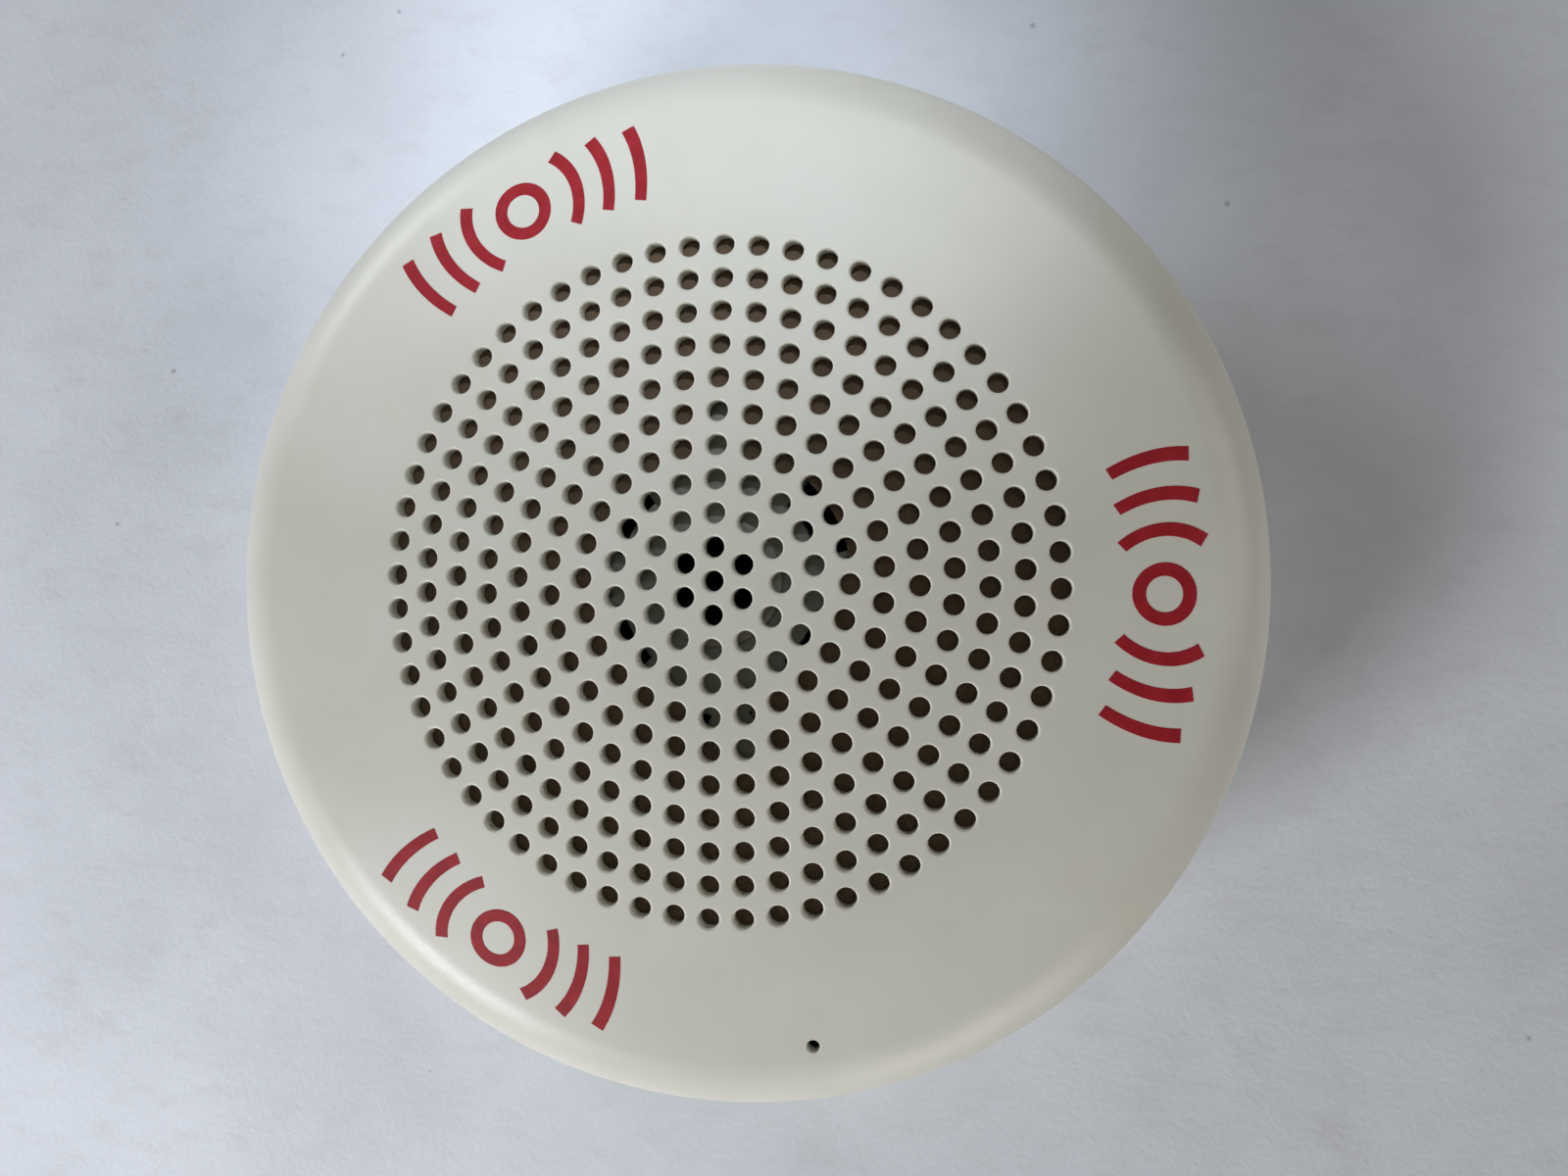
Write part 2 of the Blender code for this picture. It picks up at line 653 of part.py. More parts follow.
def post_places():
    return [polar(POST_CIRCLE, POST_ANGLE + math.tau * k / POST_COUNT) for k in range(POST_COUNT)]


def slot_outline(radius, angle):
    half = (BOX_SLOT_LENGTH - BOX_SLOT_WIDTH) / 2
    outer = polar(radius + half, angle)
    inner = polar(radius - half, angle)
    end = BOX_SLOT_WIDTH / 2
    return (arc(end, angle - math.pi / 2, angle + math.pi / 2, 4, outer)
            + arc(end, angle + math.pi / 2, angle + 3 * math.pi / 2, 4, inner))


def make_base():
    profile = [(0, BASE_SHEET), (RIM_INNER, BASE_SHEET), (RIM_INNER, RIM_HEIGHT), (RIM_OUTER, RIM_HEIGHT),
               (RIM_OUTER, BASE_SHEET), (BASE_RADIUS, BASE_SHEET), (BASE_RADIUS, 0), (0, 0)]
    base = turned("base_plate", profile, BASE_SEGMENTS, "base_plastic", closed=False)
    root = BASE_SHEET / 2
    lug_bottom = BASE_SHEET + LUG_FLOOR + LUG_HEIGHT + SEAT_GAP
    lug_top = lug_bottom + LUG_HEIGHT
    lug_inner = RIM_OUTER - RIM_WALL / 2
    lugs = [sector(lug_inner, BASE_RADIUS, lug_angle(k), BASE_LUG_SPAN, 6) for k in range(LUG_COUNT)]
    boolean(base, plate("base_lugs", lugs, lug_bottom, lug_top), "UNION")
    stop_span = (BASE_LUG_SPAN - COVER_LUG_SPAN) / 2 - STOP_SLACK
    stops = [sector(lug_inner, BASE_RADIUS, lug_angle(k) - (BASE_LUG_SPAN - stop_span) / 2, stop_span, 1)
             for k in range(LUG_COUNT)]
    boolean(base, plate("lug_stops", stops, root, (lug_bottom + lug_top) / 2), "UNION")
    boolean(base, bars("driver_posts", post_places(), POST_FOOT_RADIUS, POST_TOP_RADIUS, root, POST_TOP,
                       SMALL_SIDES), "UNION")
    boolean(base, bars("board_standoffs", board_screw_places(), STANDOFF_RADIUS, STANDOFF_RADIUS, root,
                       BOARD_BOTTOM - SEAT_GAP, SMALL_SIDES), "UNION")
    pilot = SCREW_SHANK + SEAT_GAP
    boolean(base, bars("post_pilots", post_places(), pilot, pilot, FLANGE_TOP - SCREW_LENGTH - RUN_GAP,
                       COVER_HEIGHT, SMALL_SIDES), "DIFFERENCE")
    pilot = SMALL_SHANK + SEAT_GAP
    boolean(base, bars("standoff_pilots", board_screw_places(), pilot, pilot,
                       BOARD_FLOOR - SMALL_LENGTH - RUN_GAP, COVER_HEIGHT, SMALL_SIDES), "DIFFERENCE")
    slots = [slot_outline(BOX_SLOT_SPACING / 2, math.pi / 2 + math.pi * k) for k in range(2)]
    slots.append(circle(WIRE_ENTRY_DIAMETER / 2, 2 * SMALL_SIDES, (WIRE_ENTRY_X, 0)))
    slots += [circle(pilot, SMALL_SIDES, at) for at in strap_screw_places()]
    boolean(base, plate("base_openings", slots, -BASE_SHEET, 2 * BASE_SHEET), "DIFFERENCE")


# Driver: basket, gasket, magnet system and the moving cone

def make_basket():
    neck = FLANGE_INNER - BASKET_SHEET
    rim_z = FLANGE_TOP - BASKET_NECK_DROP
    profile = [(DRIVER_RADIUS, FLANGE_TOP), (FLANGE_INNER, FLANGE_TOP), (neck, rim_z),
               (LANDING_RADIUS, LANDING), (BASKET_FLOOR_RADIUS, LANDING),
               (BASKET_FLOOR_RADIUS - BASKET_SHEET, BASKET_FLOOR), (BASKET_THROAT, BASKET_FLOOR)]
    basket = sheet("basket", profile, BASKET_SHEET, TURN_SEGMENTS, "basket_steel")
    ears = []
    for k in range(POST_COUNT):
        angle = POST_ANGLE + math.tau * k / POST_COUNT
        tip = arc(EAR_RADIUS, angle - math.pi / 2, angle + math.pi / 2, 4, polar(POST_CIRCLE, angle))
        root = DRIVER_RADIUS - FLANGE_WIDTH / 2
        side = math.atan2(EAR_RADIUS, root)
        reach = math.hypot(EAR_RADIUS, root)
        ears.append(tip + [polar(reach, angle + side), polar(reach, angle - side)])
    boolean(basket, plate("ears", ears, FLANGE_TOP - BASKET_SHEET + JOIN, FLANGE_TOP - JOIN), "UNION")
    hole = SCREW_SHANK + SEAT_GAP
    boolean(basket, bars("ear_holes", post_places(), hole, hole, POST_TOP, COVER_HEIGHT, SMALL_SIDES),
            "DIFFERENCE")
    windows = [sector(LANDING_RADIUS + WINDOW_MARGIN, neck - WINDOW_MARGIN,
                      POST_ANGLE + math.pi / POST_COUNT + math.tau * k / WINDOW_COUNT, WINDOW_SPAN, 3)
               for k in range(WINDOW_COUNT)]
    boolean(basket, plate("basket_windows", windows, TOP_PLATE_TOP, COVER_HEIGHT), "DIFFERENCE")


def make_motor():
    gasket_top = [(radius, face_height(radius) - COVER_WALL - SEAT_GAP)
                  for radius in (GASKET_INNER, DRIVER_RADIUS)]
    turned("gasket", gasket_top + [(DRIVER_RADIUS, GASKET_BOTTOM), (GASKET_INNER, GASKET_BOTTOM)],
           TURN_SEGMENTS, "gasket_board")
    yoke = [(0, TOP_PLATE_TOP), (POLE_RADIUS, TOP_PLATE_TOP), (POLE_RADIUS, YOKE_TOP),
            (YOKE_RADIUS, YOKE_TOP), (YOKE_RADIUS, YOKE_BOTTOM), (0, YOKE_BOTTOM)]
    turned("yoke", yoke, MOTOR_SEGMENTS, "bright_steel", closed=False)
    ring("magnet", MAGNET_BORE, MAGNET_RADIUS, YOKE_TOP + SEAT_GAP, MAGNET_TOP, MOTOR_SEGMENTS, "ferrite")
    ring("top_plate", TOP_PLATE_BORE, YOKE_RADIUS, MAGNET_TOP + SEAT_GAP, TOP_PLATE_TOP, MOTOR_SEGMENTS,
         "bright_steel")
    for number, (x, y) in enumerate(post_places(), 1):
        screw(f"driver_screw_{number}", x, y, FLANGE_TOP + SEAT_GAP, SCREW_SHANK, SCREW_HEAD,
              SCREW_HEAD_HEIGHT, SCREW_LENGTH)


def make_cone():
    ring("voice_coil_former", FORMER_INNER, FORMER_OUTER, YOKE_TOP + COIL_REST + COIL_TRAVEL, FORMER_TOP,
         MOTOR_SEGMENTS, "former_paper")
    coil_middle = TOP_PLATE_TOP - TOP_PLATE / 2
    ring("voice_coil", COIL_INNER, COIL_OUTER, coil_middle - COIL_HEIGHT / 2, coil_middle + COIL_HEIGHT / 2,
         MOTOR_SEGMENTS, "copper_wire")
    middle = (CONE_INNER + SURROUND_INNER) / 2
    middle_z = (CONE_NECK + CONE_RIM) / 2 - CONE_FLARE
    sheet("cone", [(CONE_RADIUS, CONE_RIM), (SURROUND_INNER, CONE_RIM), (middle, middle_z),
                   (CONE_INNER, CONE_NECK)], PAPER, TURN_SEGMENTS, "cone_paper")
    cap_slope = (middle_z - CONE_NECK) / (middle - CONE_INNER)
    cap_foot = CONE_NECK + cap_slope * (CAP_RADIUS - CONE_INNER) + SEAT_GAP + PAPER
    dome = (CAP_RADIUS ** 2 + CAP_RISE ** 2) / (2 * CAP_RISE)
    edge = math.asin(CAP_RADIUS / dome)
    arch = arc(dome, math.pi / 2 - edge, math.pi / 2, 3, (0, cap_foot + CAP_RISE - dome))
    sheet("dust_cap", arch, PAPER, MOTOR_SEGMENTS, "cap_felt")
    lip = SURROUND_TOP
    roll = SURROUND_WIDTH - CONE_LIP
    surround = [(GASKET_INNER - SEAT_GAP, lip), (FLANGE_INNER, lip),
                (FLANGE_INNER - roll / 3, lip - SURROUND_RIPPLE),
                (FLANGE_INNER - roll * 2 / 3, lip - SURROUND_DROP + SURROUND_RIPPLE),
                (CONE_RADIUS, lip - SURROUND_DROP), (SURROUND_INNER, lip - SURROUND_DROP)]
    sheet("surround", surround, PAPER, TURN_SEGMENTS, "surround_cloth")
    hub_radius = FORMER_OUTER + SEAT_GAP + PAPER / 2
    span = LANDING_RADIUS - SEAT_GAP - BASKET_SHEET - hub_radius
    low = SPIDER_BOTTOM + PAPER
    spider = [(hub_radius + span, low), (hub_radius + span * 3 / 4, low),
              (hub_radius + span / 2, low + SPIDER_RIPPLE), (hub_radius + span / 4, low),
              (hub_radius, SPIDER_HUB + PAPER)]
    sheet("spider", spider, PAPER, MOTOR_SEGMENTS, "spider_cloth")


# Line transformer in its strap

def strap_screw_places():
    return [(TRANSFORMER_X, side * (CORE_LENGTH / 2 + SEAT_GAP + STRAP_SHEET + STRAP_FOOT / 2))
            for side in (-1, 1)]


# Turns an outline drawn in X and Y up into the YZ plane and moves it to the transformer
def stand_up(made):
    made.matrix_world = (Matrix.Translation((TRANSFORMER_X, 0, 0)) @ Matrix.Rotation(math.pi / 2, 4, "Z")
                         @ Matrix.Rotation(math.pi / 2, 4, "X"))


def make_transformer():
    half = CORE_LENGTH / 2
    outer = rectangle(-half, CORE_BOTTOM, half, CORE_TOP)
    inner = CORE_LEG / 2
    low, high = CORE_BOTTOM + CORE_YOKE, CORE_TOP - CORE_YOKE
    windows = [rectangle(min(a, b), low, max(a, b), high)
               for a, b in ((inner, inner + WINDOW_WIDTH), (-inner, -inner - WINDOW_WIDTH))]
    core = plate("transformer_core", [outer] + windows, -CORE_STACK / 2, CORE_STACK / 2, "lamination_steel")
    stand_up(core)
    strap_in = half + SEAT_GAP
    strap_out = strap_in + STRAP_SHEET
    foot = strap_out + STRAP_FOOT
    roof = CORE_TOP + SEAT_GAP
    floor = CORE_BOTTOM
    hat = [(-foot, floor), (-strap_in, floor), (-strap_in, roof), (strap_in, roof), (strap_in, floor),
           (foot, floor), (foot, floor + STRAP_SHEET), (strap_out, floor + STRAP_SHEET),
           (strap_out, roof + STRAP_SHEET), (-strap_out, roof + STRAP_SHEET),
           (-strap_out, floor + STRAP_SHEET), (-foot, floor + STRAP_SHEET)]
    strap = plate("transformer_strap", [hat], -STRAP_WIDTH / 2, STRAP_WIDTH / 2, "bright_steel")
    stand_up(strap)
    hole = SMALL_SHANK + SEAT_GAP
    boolean(strap, bars("strap_holes", strap_screw_places(), hole, hole, 0, RIM_HEIGHT, SMALL_SIDES),
            "DIFFERENCE")
    for number, (x, y) in enumerate(strap_screw_places(), 1):
        screw(f"strap_screw_{number}", x, y, floor + STRAP_SHEET + SEAT_GAP, SMALL_SHANK, SMALL_HEAD,
              SMALL_HEAD_HEIGHT, BASE_SHEET)


def make_bobbin():
    x_leg, y_leg = CORE_STACK / 2 + SEAT_GAP, CORE_LEG / 2 + SEAT_GAP
    x_out, y_out = CORE_STACK / 2 + COIL_OVERHANG, CORE_LEG / 2 + WINDOW_WIDTH - SEAT_GAP
    low, high = CORE_BOTTOM + CORE_YOKE + SEAT_GAP, CORE_TOP - CORE_YOKE - SEAT_GAP

    def frame(name, x_in, y_in, x_far, y_far, bottom, top, material=None):
        outlines = [rectangle(TRANSFORMER_X - x, -y, TRANSFORMER_X + x, y)
                    for x, y in ((x_far, y_far), (x_in, y_in))]
        return plate(name, outlines, bottom, top, material)

    x_tube, y_tube = x_leg + BOBBIN_WALL, y_leg + BOBBIN_WALL
    bobbin = frame("transformer_bobbin", x_leg, y_leg, x_out, y_out, low, low + BOBBIN_WALL, "bobbin_nylon")
    boolean(bobbin, frame("bobbin_flange", x_leg, y_leg, x_out, y_out, high - BOBBIN_WALL, high), "UNION")
    boolean(bobbin, frame("bobbin_tube", x_leg + JOIN, y_leg + JOIN, x_tube, y_tube, low + BOBBIN_WALL / 2,
                          high - BOBBIN_WALL / 2), "UNION")
    frame("transformer_winding", x_tube + SEAT_GAP, y_tube + SEAT_GAP, x_out - BOBBIN_WALL,
          y_out - BOBBIN_WALL, low + BOBBIN_WALL + SEAT_GAP, high - BOBBIN_WALL - SEAT_GAP, "winding_tape")


# Wiring board with terminals, tap selector, voltage switch and capacitor

def board_screw_places():
    x = CAPACITOR_AT[0]
    return [(x, -BOARD_END + SMALL_HEAD + SEAT_GAP),
            (x, SELECTOR_AT[1] - SELECTOR_SIDE / 2 - SMALL_HEAD - RUN_GAP)]


def terminal_y(number):
    return TERMINAL_LOW[1] + TERMINAL_PITCH * (number + 0.5)


def make_board():
    hole = SMALL_SHANK + SEAT_GAP
    outlines = [rectangle(BOARD_INNER, -BOARD_END, BOARD_OUTER, BOARD_END)]
    outlines += [circle(hole, SMALL_SIDES, at) for at in board_screw_places()]
    plate("circuit_board", outlines, BOARD_BOTTOM, BOARD_TOP, "board_laminate")
    for number, (x, y) in enumerate(board_screw_places(), 1):
        screw(f"board_screw_{number}", x, y, BOARD_FLOOR, SMALL_SHANK, SMALL_HEAD, SMALL_HEAD_HEIGHT,
              SMALL_LENGTH)
    bars("capacitor", [CAPACITOR_AT], CAPACITOR_RADIUS, CAPACITOR_RADIUS, BOARD_FLOOR,
         BOARD_FLOOR + CAPACITOR_HEIGHT, ROUND_SIDES, "capacitor_sleeve")


def make_terminals():
    x0, y0 = TERMINAL_LOW
    top = BOARD_FLOOR + TERMINAL_HEIGHT
    body = block("terminal_block", (x0, y0, BOARD_FLOOR), (x0 + TERMINAL_DEPTH, y0 + TERMINAL_LENGTH, top),
                 "terminal_plastic")
    screw_x = x0 + TERMINAL_SCREW_SETBACK
    places = [(screw_x, terminal_y(n)) for n in range(TERMINAL_COUNT)]
    well = TERMINAL_SCREW + SEAT_GAP
    well_floor = top - TERMINAL_WELL
    boolean(body, bars("terminal_wells", places, well, well, well_floor, top + BOARD_LIFT, SMALL_SIDES),
            "DIFFERENCE")
    mouth = TERMINAL_MOUTH / 2
    mouths = [rectangle(x0 - mouth, y - mouth, x0 + TERMINAL_MOUTH_DEPTH, y + mouth) for x, y in places]
    boolean(body, plate("terminal_mouths", mouths, BOARD_FLOOR + mouth, BOARD_FLOOR + 3 * mouth),
            "DIFFERENCE")
    for number, (x, y) in enumerate(places, 1):
        clamp = bars(f"terminal_screw_{number}", [(x, y)], TERMINAL_SCREW, TERMINAL_SCREW,
                     well_floor + SEAT_GAP, top - SEAT_GAP, SMALL_SIDES, "bright_steel")
        slot = TERMINAL_SCREW_SLOT / 2
        boolean(clamp, block(f"terminal_slot_{number}", (x - 2 * TERMINAL_SCREW, y - slot, top - 4 * slot),
                             (x + 2 * TERMINAL_SCREW, y + slot, top + slot)), "DIFFERENCE")


def make_controls():
    x, y = SELECTOR_AT
    half = SELECTOR_SIDE / 2
    top = BOARD_FLOOR + SELECTOR_HEIGHT
    block("tap_selector_body", (x - half, y - half, BOARD_FLOOR), (x + half, y + half, top), "switch_plastic")
    bm = bmesh.new()
    bmesh.ops.create_cone(bm, cap_ends=True, segments=ROUND_SIDES, radius1=ROTOR_RADIUS, radius2=ROTOR_RADIUS,
                          depth=ROTOR_HEIGHT)
    rotor_z = top + SEAT_GAP + ROTOR_HEIGHT / 2
    rotor = place("tap_selector_rotor", finish_mesh(bm, "tap_selector_rotor"), "rotor_plastic",
                  (x, y, rotor_z))
    slot = ROTOR_SLOT / 2
    boolean(rotor, block("rotor_slot", (-ROTOR_SLOT_TAIL, -slot, 0), (2 * ROTOR_RADIUS, slot, ROTOR_HEIGHT),
                         location=(x, y, rotor_z)), "DIFFERENCE")
    x, y = SWITCH_AT
    top = BOARD_FLOOR + SWITCH_HEIGHT
    body = block("voltage_switch_body", (x - SWITCH_WIDTH / 2, y - SWITCH_LENGTH / 2, BOARD_FLOOR),
                 (x + SWITCH_WIDTH / 2, y + SWITCH_LENGTH / 2, top), "bright_steel")
    side = SLIDER_WIDTH / 2 + SEAT_GAP
    end = SLIDER_LENGTH / 2 + SEAT_GAP
    boolean(body, block("switch_slot", (x - side, y - SLIDER_TRAVEL / 2 - end, top - SLIDER_DEPTH - SEAT_GAP),
                        (x + side, y + SLIDER_TRAVEL / 2 + end, top + SLIDER_HEIGHT)), "DIFFERENCE")
    reach = (SLIDER_WIDTH / 2, SLIDER_LENGTH / 2, SLIDER_HEIGHT)
    block("voltage_switch_slider", (-reach[0], -reach[1], 0), reach, "switch_plastic",
          (x, y - SLIDER_TRAVEL / 2, top - SLIDER_DEPTH))


# Solder tags on the side of the basket and the hook-up wires

def make_tags():
    inner = -(DRIVER_RADIUS + SEAT_GAP)
    outer = inner - TAG_STRIP_SHEET
    half = TAG_STRIP_WIDTH / 2
    block("tag_strip", (-half, outer, FLANGE_TOP - TAG_STRIP_HEIGHT), (half, inner, FLANGE_TOP), "tag_fibre")
    z = FLANGE_TOP - TAG_STRIP_HEIGHT / 2
    for number, side in enumerate((-1, 1), 1):
        x = side * TAG_SPACING / 2
        block(f"solder_tag_{number}", (x - TAG_WIDTH / 2, outer - SEAT_GAP - TAG_REACH, z),
              (x + TAG_WIDTH / 2, outer - SEAT_GAP, z + TAG_SHEET), "bright_steel")


# The primary wires run round the magnet from the board to the near side of the bobbin, and the secondary
# wires from its far side round a post to the solder tags
def make_wires():
    near = TRANSFORMER_X + CORE_STACK / 2 + COIL_OVERHANG + RUN_GAP
    far = TRANSFORMER_X - CORE_STACK / 2 - COIL_OVERHANG - RUN_GAP
    low = CORE_BOTTOM + CORE_YOKE + SEAT_GAP + WIRE_RADIUS
    high = CORE_TOP - CORE_YOKE - SEAT_GAP - WIRE_RADIUS
    pad_y = TERMINAL_LOW[1] + TERMINAL_LENGTH + RUN_GAP + WIRE_RADIUS
    tag_end = -(DRIVER_RADIUS + 3 * SEAT_GAP + TAG_STRIP_SHEET + TAG_REACH)
    tag_z = FLANGE_TOP - TAG_STRIP_HEIGHT / 2 + TAG_SHEET / 2
    for number, (side, colour) in enumerate(((-1, "wire_red"), (1, "wire_black")), 1):
        pad = (BOARD_INNER + WIRE_PITCH * number, pad_y)
        bend = MAGNET_RADIUS + WIRE_ROUND + side * WIRE_PITCH / 2
        loop = [(x, y, BASE_SHEET + WIRE_LIFT)
                for x, y in arc(bend, WIRE_LOOP_START, WIRE_LOOP_END, WIRE_LOOP_STEPS)]
        rise = BOARD_FLOOR + WIRE_RISE + WIRE_PITCH * (number - 1)
        over = (BOARD_INNER - WIRE_PITCH, pad_y + WIRE_PITCH * number, rise)
        wire(f"primary_wire_{number}", [(*pad, BOARD_FLOOR), (*pad, rise), over, *loop,
                                        (near + WIRE_PITCH, WIRE_PITCH * (3 + side), low),
                                        (near, WIRE_PITCH * (3 + side), low)], colour)
        lane = LEAD_PITCH * (number - 1)
        bend = max(WIRE_PITCH - far, POST_CIRCLE + POST_FOOT_RADIUS + RUN_GAP + WIRE_RADIUS)
        sweep = arc(bend, LEAD_START, LEAD_END + LEAD_SPREAD * (number - 1), WIRE_LOOP_STEPS)
        climb = [high - lane + (tag_z - high) * step / WIRE_LOOP_STEPS for step in range(WIRE_LOOP_STEPS + 1)]
        lead_y = WIRE_PITCH * (4 * number - 7)
        tag_x = side * TAG_SPACING / 2
        wire(f"secondary_wire_{number}", [(far, lead_y, climb[0]), (far - WIRE_PITCH, lead_y, climb[0]),
                                          *[(x, y, z) for (x, y), z in zip(sweep, climb)],
                                          (tag_x, tag_end - 2 * WIRE_PITCH, tag_z),
                                          (tag_x, tag_end, tag_z)], colour)


make_cover()
make_bracket()
make_cloth()
make_base()
make_basket()
make_motor()
make_cone()
make_transformer()
make_bobbin()
make_board()
make_terminals()
make_controls()
make_tags()
make_wires()
shade_parts()
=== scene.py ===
import json
import math

import bmesh
import bpy
from mathutils import Matrix, Vector
from mathutils.geometry import convex_hull_2d, delaunay_2d_cdt


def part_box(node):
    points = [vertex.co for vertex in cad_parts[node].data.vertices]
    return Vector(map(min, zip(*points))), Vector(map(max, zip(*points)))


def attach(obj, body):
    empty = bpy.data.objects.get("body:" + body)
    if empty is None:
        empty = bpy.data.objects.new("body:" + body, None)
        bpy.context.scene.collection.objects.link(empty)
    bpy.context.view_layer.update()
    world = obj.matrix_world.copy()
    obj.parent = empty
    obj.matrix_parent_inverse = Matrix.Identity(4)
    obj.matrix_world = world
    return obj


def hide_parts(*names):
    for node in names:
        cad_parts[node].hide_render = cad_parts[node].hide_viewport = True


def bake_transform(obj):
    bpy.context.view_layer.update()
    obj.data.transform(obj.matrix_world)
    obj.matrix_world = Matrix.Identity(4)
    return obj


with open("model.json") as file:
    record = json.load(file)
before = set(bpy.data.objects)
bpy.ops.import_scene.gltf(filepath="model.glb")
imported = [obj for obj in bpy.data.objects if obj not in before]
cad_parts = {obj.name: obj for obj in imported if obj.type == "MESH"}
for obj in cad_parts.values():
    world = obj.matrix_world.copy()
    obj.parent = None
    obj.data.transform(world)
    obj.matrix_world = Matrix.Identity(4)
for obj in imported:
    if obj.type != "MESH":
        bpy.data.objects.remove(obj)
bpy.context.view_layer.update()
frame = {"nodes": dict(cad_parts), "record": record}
nodes = frame["nodes"]
scene = bpy.context.scene
scene.view_settings.view_transform = "Standard"
mm = 0.001
print("frame loaded:", len(nodes), "CAD nodes")


# colours and nodes

def hexColour(code):  # sRGB hex to linear
    parts = [int(code[i:i + 2], 16) / 255 for i in (1, 3, 5)]
    return tuple(c / 12.92 if c <= 0.04045 else ((c + 0.055) / 1.055) ** 2.4 for c in parts) + (1,)


def perMm(size):  # texture scale from the real size of a pattern
    return 1 / (size * mm)


def wavesPerMm(spacing):  # a wave texture repeats every tau / 20 of its scaled length
    return math.tau / 20 / (spacing * mm)


def spreadStops(codes, start, width):  # colours at even steps along a ramp
    return [(start + width * k / (len(codes) - 1), code) for k, code in enumerate(codes)]


def addNode(tree, kind, settings=None, links=None):  # a setting is an input, ramp stops or a property
    node = tree.nodes.new(kind)
    for key, value in (settings or {}).items():
        if key == "stops":
            elements = node.color_ramp.elements
            while len(elements) < len(value):
                elements.new(0.5)
            for element, (place, code) in zip(elements, value):
                element.position = place
                element.color = hexColour(code)
        elif isinstance(key, int) or key in node.inputs:
            node.inputs[key].default_value = value
        else:
            setattr(node, key, value)
    for key, source in (links or {}).items():
        tree.links.new(source, node.inputs[key])
    return node


# finishes, each from the settings of its material

rampSpans = {"grain": (0.34, 0.32), "thread": (0.45, 0.36), "dotted": (0.32, 0.38)}  # start and width
patternSpan = (0.3, 0.7)  # what a noise pattern mostly gives
threadTint = 0.3  # how far the threads change the colour
socketNames = {"ior": "IOR", "specular": "Specular IOR Level",
               "metallic": "Metallic", "sheen": "Sheen Weight"}


def startFinish(spec):
    material = bpy.data.materials.new(spec["name"])
    material.use_nodes = True
    tree = material.node_tree
    shader = tree.nodes["Principled BSDF"]
    for key, socket in socketNames.items():
        if key in spec:
            shader.inputs[socket].default_value = spec[key]
    place = addNode(tree, "ShaderNodeTexCoord").outputs["Object"]
    broad = addNode(tree, "ShaderNodeTexNoise",
                    {"Scale": perMm(spec["patchMm"]), "Detail": 3.0, "Roughness": 0.55}, {"Vector": place})
    return material, tree, shader, place, broad.outputs["Fac"]


def endFinish(tree, shader, spec, colour, gloss, relief):  # gloss and relief are patterns from 0 to 1
    least, most = patternSpan
    low, high = spec["roughness"]
    rough = addNode(tree, "ShaderNodeMapRange",
                    {"From Min": least, "From Max": most, "To Min": low, "To Max": high}, {"Value": gloss})
    bump = addNode(tree, "ShaderNodeBump", {"Distance": spec["depthMm"] * mm}, {"Height": relief})
    tree.links.new(colour, shader.inputs["Base Color"])
    tree.links.new(rough.outputs["Result"], shader.inputs["Roughness"])
    tree.links.new(bump.outputs["Normal"], shader.inputs["Normal"])


def grainFinish(spec):  # broad colour change and a fine raised grain
    material, tree, shader, place, broad = startFinish(spec)
    tint = spec.get("grainTint", 0.25)
    spread = addNode(tree, "ShaderNodeMapping", {"Scale": spec.get("stretch", (1, 1, 1))}, {"Vector": place})
    grain = addNode(tree, "ShaderNodeTexNoise",
                    {"Scale": perMm(spec["grainMm"]), "Detail": 2.0, "Roughness": 0.6},
                    {"Vector": spread.outputs["Vector"]}).outputs["Fac"]
    both = addNode(tree, "ShaderNodeMath", {"operation": "MULTIPLY_ADD", 1: tint}, {0: grain, 2: broad})
    start, width = rampSpans["grain"]
    colour = addNode(tree, "ShaderNodeValToRGB",
                     {"stops": spreadStops(spec["colours"], start + tint / 2, width)},
                     {"Fac": both.outputs["Value"]})
    endFinish(tree, shader, spec, colour.outputs["Color"], grain, grain)
    return material


def threadFinish(spec):  # threads, laminations or turns of wire, along one axis or crossing
    material, tree, shader, place, broad = startFinish(spec)
    threads = None
    for axis in spec["axes"]:
        band = addNode(tree, "ShaderNodeTexWave",
                       {"wave_type": "BANDS", "bands_direction": axis, "Scale": wavesPerMm(spec["threadMm"]),
                        "Distortion": spec.get("wander", 0.4), "Detail": 1.0},
                       {"Vector": place}).outputs["Fac"]
        if threads:
            band = addNode(tree, "ShaderNodeMath", {"operation": "MAXIMUM"},
                           {0: threads, 1: band}).outputs["Value"]
        threads = band
    both = addNode(tree, "ShaderNodeMath", {"operation": "MULTIPLY_ADD", 1: threadTint},
                   {0: threads, 2: broad})
    colour = addNode(tree, "ShaderNodeValToRGB",
                     {"stops": spreadStops(spec["colours"], *rampSpans["thread"])},
                     {"Fac": both.outputs["Value"]})
    endFinish(tree, shader, spec, colour.outputs["Color"], broad, threads)
    return material


